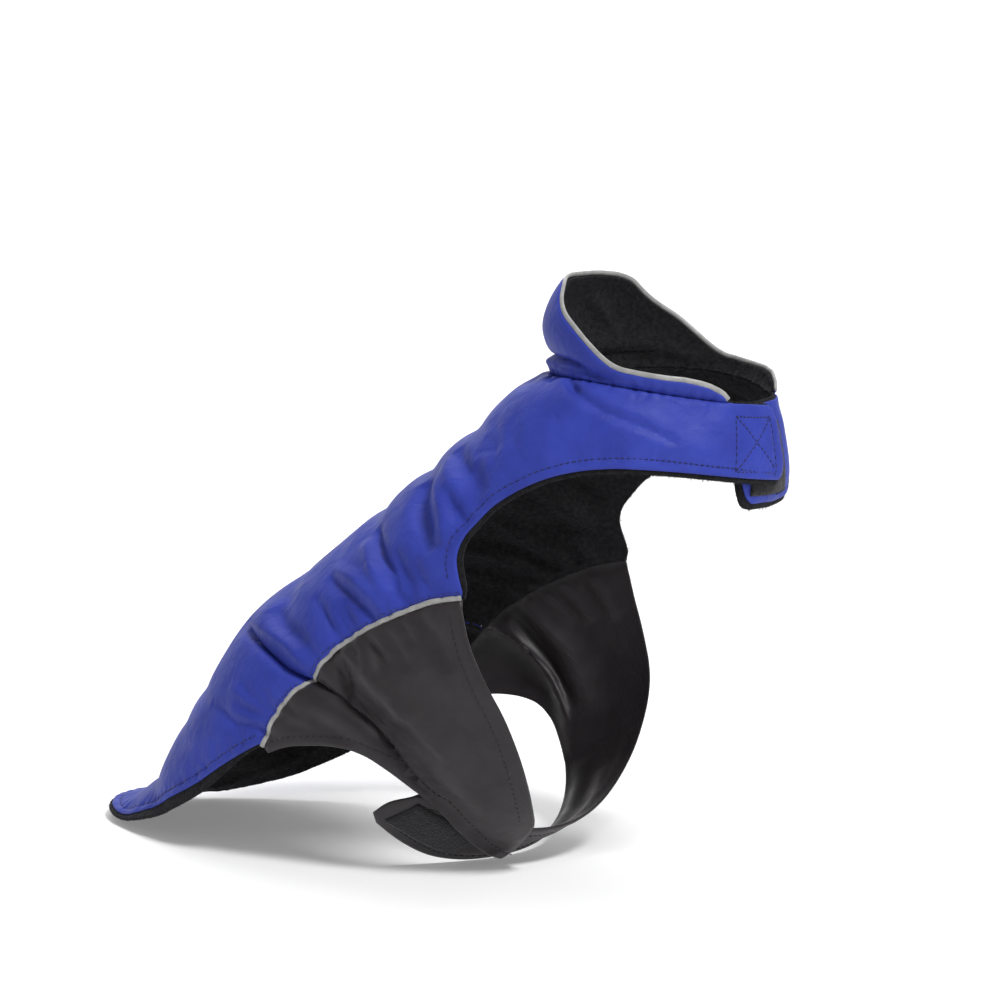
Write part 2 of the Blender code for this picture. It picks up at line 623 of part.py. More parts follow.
def make_left_belly():
    """The left belly panel, which passes under the right one, with the loop patch."""
    seam = beside(trace(mirrored(SIDE_SEAM), EDGE_SPACING), -SEAM_CLEAR)
    rim = rim_of([
        seam,
        trace(LEFT_BELLY_FRONT, EDGE_SPACING),
        trace(LEFT_BELLY_END, EDGE_SPACING),
        trace(LEFT_BELLY_REAR, EDGE_SPACING),
    ])
    plane, triangles = cut(rim, PANEL_SPACING, (BELLY_LOOP,))
    make_wall("belly_panel_left", plane, triangles, PANEL_FLOOR, SHELL_TOP, "black_nylon")
    loop = part_inside(plane, triangles, patch_rim(BELLY_LOOP))
    make_wall("belly_loop_patch", *loop, PATCH_FLOOR, PATCH_TOP, "black_loop")


def main():
    for thing in list(bpy.data.objects):
        bpy.data.objects.remove(thing)
    make_back()
    make_collar()
    make_side_piping("right", SIDE_SEAM)
    make_side_piping("left", mirrored(SIDE_SEAM))
    make_right_belly()
    make_left_belly()


main()
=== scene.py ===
from collections import namedtuple

import bmesh
import bpy
import numpy as np
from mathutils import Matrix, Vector, noise
from mathutils.geometry import delaunay_2d_cdt


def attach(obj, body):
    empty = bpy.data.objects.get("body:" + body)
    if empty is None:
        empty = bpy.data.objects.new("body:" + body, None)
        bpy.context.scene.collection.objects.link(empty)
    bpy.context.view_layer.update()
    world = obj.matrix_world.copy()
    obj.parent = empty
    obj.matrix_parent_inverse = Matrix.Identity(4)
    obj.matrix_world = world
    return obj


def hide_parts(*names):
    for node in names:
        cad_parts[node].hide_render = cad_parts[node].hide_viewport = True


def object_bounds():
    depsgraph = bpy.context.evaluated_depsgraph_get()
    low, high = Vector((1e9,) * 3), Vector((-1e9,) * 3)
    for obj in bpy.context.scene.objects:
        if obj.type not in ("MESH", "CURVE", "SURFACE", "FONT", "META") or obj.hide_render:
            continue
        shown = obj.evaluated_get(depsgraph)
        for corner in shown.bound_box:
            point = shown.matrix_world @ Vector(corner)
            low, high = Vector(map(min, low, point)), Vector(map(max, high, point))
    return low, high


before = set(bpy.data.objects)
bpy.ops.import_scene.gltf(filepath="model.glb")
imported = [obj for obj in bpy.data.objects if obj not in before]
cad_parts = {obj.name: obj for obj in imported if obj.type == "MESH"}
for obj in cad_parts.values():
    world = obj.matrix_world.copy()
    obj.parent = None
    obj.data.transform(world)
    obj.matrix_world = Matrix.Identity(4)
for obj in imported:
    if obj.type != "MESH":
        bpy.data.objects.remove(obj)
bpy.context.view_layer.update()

# ---- driving dimensions, in mm unless a name says otherwise ----
MM = 0.001
WITHERS_STATION = 56.0

LINING_WALL = 1.8
SHELL_WALL = 1.2
PANEL_WALL = 1.5
PATCH_WALL = 1.0
PIPING_DIAMETER = 2.2
GAP = 0.3
FLAP_GAP = 0.6              # between two flaps that lap over each other

SHELL_FLOOR = LINING_WALL + GAP
SHELL_TOP = SHELL_FLOOR + SHELL_WALL
PANEL_FLOOR = SHELL_TOP - PANEL_WALL
PATCH_FLOOR = SHELL_TOP + GAP
PATCH_TOP = PATCH_FLOOR + PATCH_WALL
HOOK_FLOOR = PATCH_TOP + FLAP_GAP
OVER_FLOOR = HOOK_FLOOR + PATCH_WALL + GAP
CHEST_LAP = OVER_FLOOR      # from the left flap's height to the right one's
BELLY_LAP = OVER_FLOOR - PANEL_FLOOR
CHEST_PRESS = 3.0           # how far the under flap is pressed in, out of that
BELLY_PRESS = 1.5

CHEST_ONLY = 70.0           # stations nearer the neck than this are chest flap
CHEST_LAP_ANGLES = (128.0, 156.0)       # the right flap climbs over this stretch
CHEST_PRESS_ANGLES = (160.0, 177.0)     # the left one sinks, on its own side
BELLY_LAP_ANGLES = (86.0, 114.0)
BELLY_PRESS_ANGLES = (150.0, 190.0)

SEAM_PIPING_HEIGHT = 2.9    # piping centre above the form, in the side seams
COLLAR_PIPING_HEIGHT = 2.0

MM_PER_DEGREE = 1.5         # scale of the pattern plane round the body
NECK_TO_PLANE = 0.66        # a plane mm round the narrow neck is this long
ROW_STEP = 0.87             # mesh rows lie this share of their spacing apart
CLEAR_OF_RIM = 0.6          # and keep this share of it clear of the rim
SAME_POINT = 0.2            # rim points nearer than this are one point

# ---- the body form ----
# One row for each ring of the form. A ring hangs between a point on the back
# and a point on the belly, both from the nape seam; side_rise lifts its
# sides towards the head.
Ring = namedtuple("Ring", "station back_x back_z belly_x belly_z half_width egg side_rise")


def table(kind, *rows):
    """A table's rows, with its columns named."""
    return tuple(kind(*row) for row in rows)


RINGS = table(
    Ring,
    (-64, 26.5, 60, 119, 52, 49, 0.00, 4),
    (-52, 18.5, 50, 121, 42, 52, 0.00, 4),
    (-40, 11, 39.5, 122, 31, 55, 0.00, 4),
    (-26, 6.5, 26, 123, 18, 57, 0.00, 4),
    (-12, 10.5, 12, 122, 3, 57, 0.00, 4),
    (0, 8, 2.5, 121, -10, 56, 0.02, 4),
    (20, -9, -9, 124.5, -27, 66, 0.08, 4),
    (40, -26, -23.5, 127, -49, 74, 0.08, 2),
    (80, -60, -50.5, 116, -110, 82, 0.08, 0),
    (125, -96.5, -79.5, 78, -180, 88, 0.06, 0),
    (175, -134.5, -109, 8, -238, 90, 0.06, 0),
    (215, -168, -133.5, -45, -264, 88, 0.06, 0),
    (255, -193.5, -169, -86, -278, 85, 0.04, 0),
    (290, -214, -199.5, -116, -292, 80, 0.02, 0),
    (325, -232.5, -228, -142, -306, 76, 0.00, 0),
    (350, -250.5, -244, -162, -322, 77, 0.00, 0),
    (380, -278, -252, -184, -340, 81, 0.00, 0),
)

# ---- the cut, right side ----
Mark = namedtuple("Mark", "station angle")


def marks(*places):
    """Places on the form, each a station and an angle."""
    return table(Mark, *places)


COLLAR_END = 151.0          # the collar stands open in front, past this angle
FLAP_TOP = marks((0.3, COLLAR_END), (0.5, 166), (1.5, 176))
FLAP_END = marks((4.5, 179.5), (12, 181), (24, 181.5), (35, 181), (38.5, 179))
ARMHOLE = marks(
    (39.5, 177), (39, 168), (38.5, 156), (38.3, 143), (38.7, 129.5), (39.7, 119), (42, 106), (46, 95.5),
    (52.5, 86), (61, 79), (70, 74.7), (79, 73.2), (87, 72.8), (94, 74.5), (100, 78.5), (105.5, 83.5),
)
SIDE_SEAM = marks(
    (108, 84.5), (110.7, 82), (115.5, 78.5), (120.5, 76), (131.5, 72), (144, 69), (159, 67.4),
    (170.5, 67.6), (179.5, 69.4), (189, 71.5), (200.5, 73.8), (210, 76.9), (222, 81.8),
)
HEM = marks(
    (223, 80.3), (236, 78.3), (251, 76), (271.5, 72.4), (297, 64.2), (316, 55.5), (341, 42), (361, 28),
    (372, 15), (376, 6), (376.5, 0),
)
BELLY_FRONT = marks(
    (111.5, 87), (119.5, 94), (129, 105.5), (136, 115.8), (145.6, 128), (157, 141.5), (167, 153),
)
BELLY_END = marks((170.5, 156), (181, 161), (190.5, 165.5))
BELLY_REAR = marks(
    (193.5, 165), (191, 152.5), (187, 141), (183, 128), (181, 118), (180.7, 108), (183.2, 101), (187, 97),
    (193.5, 93), (201, 90), (210, 87), (221.5, 84.8),
)

# ---- the cut, where the left side differs ----
LEFT_FLAP_DROP = 9.0        # the left flap sits lower in front, under the right one
DROP_START, DROP_FULL = 105.0, 165.0
LEFT_FLAP_END = marks(
    (48.5, -193), (46.5, -196.5), (41, -199.5), (30, -200.5), (14, -200), (4.5, -197.5),
)
LEFT_FLAP_TOP = marks((1.5, -193), (0.5, -170), (0.3, -COLLAR_END))
LEFT_BELLY_FRONT = marks(
    (111.5, -87), (119.5, -94), (129, -105), (138, -118), (152, -136), (164, -155), (171, -175),
    (175, -196), (178, -216), (181, -234),
)
LEFT_BELLY_END = marks((184, -238.5), (195, -241), (204, -240))
LEFT_BELLY_REAR = marks(
    (207.5, -236), (209.5, -222), (209.5, -212), (206.5, -202), (200, -189), (194, -174), (189.5, -157),
    (185, -136), (182, -118), (181.2, -108), (183.2, -101), (187, -97), (193.5, -93), (201, -90),
    (210, -87), (221.5, -84.8),
)

# ---- the collar's top edge: height above the seam, by angle ----
COLLAR_TOP = marks(
    (-53, 0), (-52.5, 20), (-50.5, 33), (-46.5, 43), (-41.5, 49.5), (-37, 55), (-32.5, 61.5), (-28.5, 68),
    (-24.5, 73.5), (-20, 78.5), (-16, 83), (-12.5, 88), (-10, 94), (-9, 103), (-8.5, 116), (-8.5, 130),
    (-7, 141), (-4, 147.5), (-1.8, 149.5),
)

# ---- how far the fleece rolls past the shell's edge ----
FLEECE_EDGE = 2.0
FLEECE_AT_FLAP_TOP = 1.2
FLEECE_AT_RIGHT_END = 1.0
FLEECE_AT_LEFT_END = 4.0
FLAP_TOP_STATION = 12.0     # the flaps' top edge lies nearer the neck than this
RIGHT_END_ANGLE = 178.0     # the flaps' ends lie past these angles
LEFT_END_ANGLE = 194.5
Roll = namedtuple("Roll", "station past_edge")
HEM_ROLL = table(
    Roll,
    (221, 1.0), (236, 1.5), (251, 4.0), (275, 6.5), (300, 7.5),
    (320, 7.0), (341, 4.0), (358, 3.0), (376, 2.5),
)

# ---- hook and loop patches: corners in the pattern plane ----
Patch = namedtuple("Patch", "station_from station_to angle_from angle_to")
CHEST_HOOK = Patch(10, 34.5, 153, 174)
CHEST_LOOP = Patch(13, 45.5, -195.5, -168)
BELLY_HOOK = Patch(173, 183.5, 139, 153)
BELLY_LOOP = Patch(186, 203, -236, -210)

# ---- the largest folds: + is a ridge, - a trough ----
Fold = namedtuple("Fold", "height width path")
Tuck = namedtuple("Tuck", "slide width path")


def folds(*rows):
    """Folds from rows of a height, a width and the places along the path."""
    return tuple(Fold(height, width, marks(*path)) for height, width, *path in rows)


def tucks(*rows):
    """Tucks from rows of a slide, a width and the places along the path."""
    return tuple(Tuck(slide, width, marks(*path)) for slide, width, *path in rows)


# Stretches that a fold shares with its creases or its tuck.
DEEP_FOLD = (
    (202.8, 43), (195.4, 53.5), (189.3, 62), (184.2, 66.7), (179.5, 70.5),
)
PANEL_FOLD = (
    (175.1, 80.5), (172.7, 87.9), (170.9, 94.3), (171.2, 100.2), (173.1, 107), (175.6, 113.2),
    (178.1, 120), (181, 128.5),
)
LEFT_DEEP_FOLD = (
    (203, -30), (190, -48), (180, -60), (173, -69), (168, -80), (167, -96), (171, -110), (178, -128),
)
COLLAR_FOLD = (
    (-12.6, 33), (-11.6, 54), (-9.2, 71), (-4.6, 82), (-2.8, 93),
)

FOLDS = folds(
    # from the small of the back down across the right side and under the belly
    (-6.5, 5.5, (216, 22), (211, 29), (199, 44), (192, 53.5), (186, 62.5), (180, 70), (174, 79),
        (169.5, 88), (168.4, 97), (170.5, 105), (175, 117.5), (178, 128), (182, 140), (189, 158)),
    (2.4, 8.0, (205, 24), (191, 42), (181, 54), (172, 62), (167, 67)),
    (-3.0, 4.5, (164, 64), (165, 70.5), (167, 77), (165, 86), (161, 95), (162, 104), (167, 116),
        (173, 130)),
    # the same two folds on the left side, a little apart from the right ones
    (-5.5, 6.5, (216, -6), *LEFT_DEEP_FOLD),
    (3.0, 8.0, (226, -18), (212, -36), (200, -50), (191, -60)),
    (-4.0, 5.5, (152, -62), (154, -76), (155, -92), (160, -108), (169, -126)),
    # the chest flaps fold in over the neck along a line from nape to closure
    (2.6, 7.0, (4, 58), (7.5, 72), (13.5, 84), (16, 95), (20, 108), (25, 121), (29, 136), (32, 149)),
    (2.4, 7.0, (5, -58), (9, -76), (15, -92), (21, -110), (29, -130)),
    # the collar's foot is rolled over its seam
    (-1.6, 3.5, (-1, -80), (-1, -40), (-1, 0), (-1, 40), (-1, 80)),
    (1.4, 3.5, (-6, -76), (-7, -35), (-7, 0), (-7, 35), (-6, 76)),
    (-1.8, 3.5, (-4, -94), (-9, -74), (-13, -48), (-13, 0), (-13, 30), (-12, 56), (-8.7, 71.5), (-4.5, 84),
        (-3, 96)),
    # shallow hollows across the back
    (-2.4, 8.0, (38, -30), (45, -8), (46, 18), (48, 45), (58, 60)),
    (-2.6, 8.0, (82, -34), (80, -8), (79, 18), (78, 38), (92, 62)),
    (-2.2, 8.0, (110, -12), (114, 14), (118, 38), (124, 62)),
    (-2.2, 8.0, (96, -66), (104, -48), (108, -26), (104, -6)),
    (-2.4, 8.0, (134, -66), (142, -44), (146, -20), (143, 8)),
    (-2.2, 8.0, (180, 8), (182, 28), (180, 46), (174, 58)),
    # the hem kicks out behind this crease
    (-2.4, 9.0, (310, -66), (320, -44), (324, -16), (324, 16), (320, 44), (310, 66)),
)
FOLD_STEP = 7.0             # spacing of the points that follow a fold's path
CREASE_STEP = 3.5           # and a crease's or a tuck's
REACH = 3.2                 # a fold is felt this many of its widths away
SHARP_BELOW = 3.5           # folds narrower than this come to an edge
SHARP_POWER = 1.35          # how their sides fall away with distance
ROUND_POWER = 2.0           # and those of wider ones
SEAM_FADE = 0.8             # how a pucker fades with distance from its seam

# ---- the finer creases ----
# Both ends of each one fade out.
CREASES = folds(
    # inside the deep fold on the right, and the puckers that run into it
    (-3.0, 2.0, (209.9, 32.5), *DEEP_FOLD, (176, 76), (172, 85)),
    (1.8, 3.2, (213, 23.7), (195, 42.5), (184.8, 53), (179, 62.2), (176.5, 68)),
    (-2.2, 4.2, (190, 34), (181, 50.7), (175.3, 58), (172, 64.6), (171, 69.5)),
    (-1.0, 3.0, (198.2, 39), (189.8, 49.8), (182, 59.3)),
    # from the side seam up the back
    (-1.7, 2.6, (160, 44), (158.5, 59.3), (158.3, 64.4), (158.5, 69.5)),
    (-1.3, 2.2, (151, 55), (152.8, 64.5), (153.1, 70)),
    (-1.3, 2.3, (147.6, 54), (147.9, 64.4), (147.5, 70)),
    (-1.9, 3.4, (149, 40), (141.3, 55.8), (139.4, 63.6), (138.8, 71)),
    (1.5, 3.6, (146, 38), (136, 52), (133.5, 62), (133, 70)),
    (-2.6, 2.8, (114, 34), (117.1, 46), (118.5, 54), (119.7, 61), (122.3, 66)),
    (1.6, 3.4, (122, 36), (124.5, 48), (126, 58), (128, 67)),
    (-1.6, 2.2, (121.5, 62), (123.5, 68.5), (124.7, 73.5)),
    (-1.3, 2.4, (114.5, 60), (118.6, 69.1), (120.5, 74.5)),
    (-1.3, 2.6, (107, 61), (111.5, 70.9), (114, 78)),
    (-1.6, 2.8, (111, 53), (114.4, 64.9), (116.5, 72)),
    # behind the deep fold, towards the hem
    (-1.2, 2.6, (218, 58), (209.8, 70.1), (205.8, 74.6)),
    (-1.1, 2.4, (225, 62), (215.4, 70.9), (209, 76.4)),
    (-1.1, 2.3, (231, 66), (220.6, 74.5), (215.1, 78.6)),
    (-1.2, 3.4, (243, 50), (233, 63), (229.4, 74)),
    (0.9, 3.2, (226, 54), (216, 64), (209, 71)),
    (-0.6, 6.0, (262, 12), (256, 30), (248, 46), (243, 60)),
    (-0.4, 6.0, (290, -12), (284, 14), (276, 38), (272, 54)),
    # the shoulder and the middle of the back
    (-3.2, 4.6, (80, 34), (86.7, 42.7), (93, 55), (99.6, 66.6)),
    (2.2, 4.2, (72, 40), (77, 50), (84, 61.4), (94, 69)),
    (-1.8, 3.0, (72, 54), (77.5, 60.2), (80.9, 68), (81.8, 71.5)),
    (-2.0, 4.0, (57, 36), (60.5, 50), (66, 62), (75, 71)),
    (1.6, 4.0, (64, 36), (69, 50), (76, 62)),
    (-1.5, 3.6, (56, 54), (61.5, 62.8), (67, 69.5)),
    (-0.8, 3.0, (43.5, 48.1), (47.5, 60), (55.3, 67)),
    (-0.6, 3.0, (33.9, 41.4), (39.4, 54.6), (45.6, 62.1)),
    (-0.6, 2.8, (53.4, 49.8), (49.1, 55.5), (45.6, 62.1)),
    (-0.6, 3.4, (31.8, 56.2), (42.1, 67.6), (48.4, 76.5)),
    # the flap's fold over the neck, its lower edge
    (-2.3, 2.6, (4, 66), (8, 74), (12.6, 82.5), (17.5, 96), (20.5, 108), (23, 118), (27, 129)),
    # gathers under the collar seam
    (-1.5, 2.2, (-2, 43), (3, 46), (8, 50.5)),
    (-1.2, 2.0, (0, 56), (3.9, 55.5), (7, 52.5)),
    (-1.3, 2.2, (1, 66), (8.4, 74.8), (11.5, 80)),
    (-1.1, 2.4, (1, 28), (7, 31), (13, 36)),
    (-1.0, 2.2, (0.5, 12), (6, 14), (12, 12)),
    (-1.2, 2.3, (0.5, -9), (6, -8), (12, -11)),
    (-1.3, 2.2, (0, -25), (5, -27), (12, -32)),
    (-1.3, 2.2, (-1, -40), (4, -44), (10, -50)),
    (-1.2, 2.2, (1, -63), (7, -70), (13, -80)),
    # the collar
    (-2.2, 1.9, (-12.6, 8), *COLLAR_FOLD),
    (-1.4, 1.7, (-7.6, 40), (-6.5, 61.2), (-4.9, 73.8), (-3.4, 85)),
    (1.2, 2.2, (-10, 30), (-9.2, 52), (-7.2, 70), (-4, 82)),
    (-1.0, 4.0, (-40, -18), (-30, -30), (-20, -36), (-14, -34)),
    (-0.9, 4.0, (-46, 12), (-36, 22), (-24, 26), (-15, 24)),
    (-1.8, 2.0, (-12, -4), (-12.8, -26), (-12, -48), (-9, -68), (-5, -84)),
    (-1.2, 1.8, (-6, -30), (-7, -52), (-5.5, -72), (-3.5, -86)),
    # the right belly panel, fanning out from the seam's deep fold
    (-2.2, 2.2, (167.1, 67), (166.4, 74), (167.9, 79.5), (169.5, 83)),
    (-1.4, 1.8, (165.2, 71), (166.6, 76.3), (169.7, 81.7)),
    (-2.8, 1.9, (178, 72), *PANEL_FOLD, (183.5, 138)),
    (1.8, 2.8, (173.5, 74), (170.6, 82), (168.3, 89), (167.3, 96), (168.6, 102), (171, 109), (174, 117),
        (177, 128)),
    (-2.4, 2.2, (165.2, 73.9), (165.6, 80), (166.1, 85.9), (165.1, 92), (164.9, 97.6), (166.7, 102.8),
        (168.6, 108), (170.7, 114.5), (172.7, 120.7), (174.3, 128), (178, 140)),
    (-1.6, 2.4, (162.6, 67.5), (162.9, 73.9), (163.1, 80.5)),
    (-1.3, 2.0, (155.6, 68), (155.9, 74.2), (156.4, 80.5)),
    (-1.9, 2.3, (147.6, 68), (148, 73.1), (148.2, 77.1), (150, 84)),
    (-1.3, 2.4, (139.3, 70.2), (140, 75.8), (140.5, 79.7), (144, 88)),
    (-1.4, 3.0, (123, 75.5), (127, 85.7), (129.4, 91), (133.2, 97)),
    (-1.0, 2.2, (131, 72), (132.5, 77), (135, 84)),
    (2.2, 4.2, (154.5, 74), (157.2, 86.3), (158.2, 93.7), (158.6, 101)),
    (2.0, 4.0, (157.6, 93), (158.5, 102), (160.1, 109), (160.7, 117)),
    (-1.6, 3.6, (161, 98), (163.1, 107.4), (164.3, 116)),
    (-1.2, 4.5, (141, 92), (147, 104), (152, 118), (159, 132)),
    (-0.9, 3.6, (193, 80), (187.5, 88), (183, 98)),
    (-0.7, 3.0, (205, 80), (198, 84), (191, 89)),
    # the left side, in the same manner
    (-2.4, 2.2, (208, -22), (196, -41), (186, -54), (178, -64), (171, -74)),
    (1.6, 3.2, (214, -31), (202, -46), (192, -57), (186, -66)),
    (-1.6, 3.6, (186, -30), (178, -46), (171, -58), (166, -66)),
    (-1.5, 2.4, (156, -46), (153, -58), (151.5, -70)),
    (-1.7, 3.0, (142, -40), (137, -54), (136, -70)),
    (1.3, 3.4, (134, -42), (130, -56), (129, -70)),
    (-2.2, 2.8, (116, -38), (121, -52), (124, -64), (125, -73)),
    (-1.3, 2.4, (109, -60), (113, -70), (116, -77)),
    (-1.2, 2.4, (203, -58), (199, -66), (196, -72)),
    (-1.1, 2.4, (222, -62), (214, -70), (208, -75.5)),
    (-1.2, 3.2, (245, -48), (236, -62), (230, -74)),
    (-2.8, 4.4, (84, -36), (91, -48), (97, -60), (103, -70)),
    (1.9, 4.2, (75, -40), (82, -54), (91, -67)),
    (-1.7, 3.4, (58, -42), (63, -56), (71, -68)),
    (-0.8, 3.2, (36, -46), (42, -58), (49, -68)),
    (-1.4, 3.0, (6, -68), (12, -84), (18, -100), (25, -116), (31, -130)),
    (-2.0, 2.2, (164, -66), (165, -76), (167, -88), (170, -102), (174, -116)),
    (-1.7, 2.2, (153, -67), (155, -78), (156, -90), (160, -104), (165, -118)),
    (1.7, 3.0, (159, -72), (161, -86), (164, -100), (168, -114)),
    (-1.4, 2.2, (144, -68.5), (145, -76), (147, -86)),
    (-1.3, 2.4, (135, -70.5), (137, -79), (140, -90)),
    (-1.2, 2.8, (123, -75), (127, -84), (132, -95)),
    (-1.2, 3.6, (176, -130), (181, -150), (186, -172), (190, -196)),
    (-1.0, 3.4, (168, -140), (173, -160), (180, -184)),
)
CREASE_GAIN = 1.9           # the creases' heights are multiplied by this

# Tucks: the cloth on the head's side slides over the fold's bottom.
TUCKS = tucks(
    (4.6, 3.4, (212, 28), *DEEP_FOLD, *PANEL_FOLD),
    (3.4, 3.4, (212, -14), *LEFT_DEEP_FOLD),
    (2.2, 2.2, (-12.6, 0), *COLLAR_FOLD),
)

TUCK_REACH = 6.0            # a tuck is felt this many of its widths away
TUCK_FADE = 0.6             # how it fades towards its two ends
ON_LINE = 0.01              # points nearer its line than this have no way to slide

# ---- sewing ----
FREE_STITCH = 5.0           # topstitching from a free edge
SEAM_STITCH = 2.2           # and from a side seam
ARMHOLE_STITCH = marks(
    (37.2, 175), (36.2, 165.5), (35, 152), (34.7, 140), (34.7, 128.6), (35.3, 119.5), (36.4, 110.8),
    (38, 104), (41, 96), (45.3, 88.4), (50.7, 81.9), (56.2, 77.5), (61.6, 74), (67.5, 71.5), (75, 69.8),
    (84, 69.2), (92, 70), (99, 73.2), (106, 79),
)
CHEST_BOX = Patch(10, 36.2, 152.5, 175)
THREAD_RADIUS = 0.24
STITCH_PITCH = 3.1
STITCH_LENGTH = 2.4
SEWN_IN = 0.55              # how deep a topstitched line lies
SEWN_WIDTH = 1.4            # and how wide its groove is

# ---- fine meshes: pitches and steps in mm of the pattern plane ----
RIM_PITCH = 2.0
SHELL_PITCH = 2.0
LINING_PITCH = 2.6
PATCH_PITCH = 1.6
SEWING_PITCH = 1.0          # spacing of the points that a line of stitches follows
SEAM_PITCH = 0.6            # and of those that tell how far a seam is
EDGE_ROWS = (0.7, 1.7)      # finer rows of points, this far inside a rim
CLEAR_OF_EDGE = 0.85        # a row's points keep this share of that from the rim
NORMAL_STEP = 0.5           # the form's slope is taken over twice this
SAME_PLACE = 1e-6           # points nearer than this are one in the triangulation
LINE_BLOCK = 100            # points taken at a time, which keeps the arrays small
POINT_BLOCK = 4000


# ---- curves and the pattern plane ----
def unit(ways):
    """Directions of length 1."""
    return ways / np.linalg.norm(ways, axis=1)[:, None]


def quarter_turn(ways):
    """Directions of the plane, turned to their left."""
    return np.column_stack([-ways[:, 1], ways[:, 0]])


def run_along(line):
    """How far along a line each of its points lies."""
    return np.concatenate([[0], np.cumsum(np.linalg.norm(np.diff(line, axis=0), axis=1))])


def read_line(places, run, line):
    """Points at places along a line, where run is the place of each of its own points."""
    return np.column_stack([np.interp(places, run, line[:, 0]), np.interp(places, run, line[:, 1])])


def smooth(places, knots, values):
    """A cubic curve through the values at the knots, read at the places."""
    knots = np.asarray(knots, float)
    values = np.asarray(values, float)
    slopes = np.gradient(values, knots, axis=0)
    places = np.clip(places, knots[0], knots[-1])
    left = np.clip(np.searchsorted(knots, places, side="right") - 1, 0, len(knots) - 2)
    span = (knots[left + 1] - knots[left])[:, None]
    t = (places[:, None] - knots[left][:, None]) / span
    start = (2 * t**3 - 3 * t**2 + 1) * values[left] + (t**3 - 2 * t**2 + t) * span * slopes[left]
    end = (3 * t**2 - 2 * t**3) * values[left + 1] + (t**3 - t**2) * span * slopes[left + 1]
    return start + end


def ease(value, start, end):
    """0 before start, 1 after end, and a smooth rise between."""
    t = np.clip((value - start) / (end - start), 0, 1)
    return t * t * (3 - 2 * t)


def trace(places, spacing):
    """Even points of the pattern plane along the smooth line through some marks."""
    points = np.array([(mark.angle * MM_PER_DEGREE, mark.station) for mark in places])
    run = run_along(points)
    count = max(1, round(run[-1] / spacing))
    return smooth(np.linspace(0, run[-1], count + 1), run, points)


def beside(line, distance, to_plane=1.0):
    """The line moved sideways, to its left when distance is positive.

    to_plane is the real length of a plane mm round the body.
    """
    scale = np.array([to_plane, 1.0])
    return line + distance * quarter_turn(unit(np.gradient(line * scale, axis=0))) / scale


def mirrored(places):
    """The same marks on the wearer's left, in the opposite order."""
    return tuple(Mark(mark.station, -mark.angle) for mark in reversed(places))


def dropped(places):
    """Marks of the left flap, let down towards the front."""
    return tuple(
        Mark(mark.station + LEFT_FLAP_DROP * float(ease(-mark.angle, DROP_START, DROP_FULL)), mark.angle)
        for mark in places
    )


def round_neck(station, angle):
    """Marks along the collar seam, as far round as the angle on both sides."""
    return marks((station, -angle), (station, 0), (station, angle))


LEFT_SIDE_SEAM = mirrored(SIDE_SEAM)
LEFT_ARMHOLE = dropped(mirrored(ARMHOLE))
LEFT_ARMHOLE_STITCH = dropped(mirrored(ARMHOLE_STITCH))
WHOLE_HEM = HEM + mirrored(HEM)[1:]


# ---- the form and its folds ----
def form_points(plane):
    """Pattern points on the bare form, in mm from the nape seam."""
    angle = np.radians(plane[:, 0] / MM_PER_DEGREE)
    rings = smooth(plane[:, 1], [ring.station for ring in RINGS], [ring[1:] for ring in RINGS])
    back, belly = rings[:, 0:2], rings[:, 2:4]
    half_width, egg, side_rise = rings[:, 4], rings[:, 5], rings[:, 6]
    chord = (back - belly) / 2
    headward = unit(-quarter_turn(chord))
    cos, sin = np.cos(angle), np.sin(angle)
    side = (back + belly) / 2 + chord * cos[:, None] + headward * (side_rise * sin**2)[:, None]
    across = -half_width * sin * (1 + egg * cos)
    return np.column_stack([side[:, 0], across, side[:, 1]])


def form_normals(plane):
    """Outward directions of the form at the pattern points."""
    down = form_points(plane + (0, NORMAL_STEP)) - form_points(plane - (0, NORMAL_STEP))
    round_body = form_points(plane + (NORMAL_STEP, 0)) - form_points(plane - (NORMAL_STEP, 0))
    return unit(np.cross(down, round_body))


def nearest_on_line(plane, line, along):
    """Distance to a line, and how far along it the nearest point lies."""
    away = np.full(len(plane), np.inf)
    place = np.zeros(len(plane))
    for start, end, at_start, at_end in zip(line[:-1], line[1:], along[:-1], along[1:]):
        run = end - start
        t = np.clip((plane - start) @ run / (run @ run), 0, 1)
        distance = np.linalg.norm(plane - start - t[:, None] * run, axis=1)
        closer = distance < away
        away[closer] = distance[closer]
        place[closer] = (at_start + t * (at_end - at_start))[closer]
    return away, place


def near_line(plane, line, reach):
    """Which points lie in the box round a line that reaches this far past it."""
    low, high = line.min(axis=0) - reach, line.max(axis=0) + reach
    return np.nonzero(((plane > low) & (plane < high)).all(axis=1))[0]


def lap_heights(plane):
    """The right flap and belly panel ride over the left ones, which are pressed in."""
    angle, station = plane[:, 0] / MM_PER_DEGREE, plane[:, 1]
    chest = (CHEST_LAP - CHEST_PRESS) * ease(angle, *CHEST_LAP_ANGLES)
    chest -= CHEST_PRESS * ease(-angle, *CHEST_PRESS_ANGLES)
    belly = (BELLY_LAP - BELLY_PRESS) * ease(angle, *BELLY_LAP_ANGLES)
    belly -= BELLY_PRESS * ease(-angle, *BELLY_PRESS_ANGLES)
    return np.where(station < CHEST_ONLY, chest, belly)


FULL_TURN = np.array([360 * MM_PER_DEGREE, 0.0])


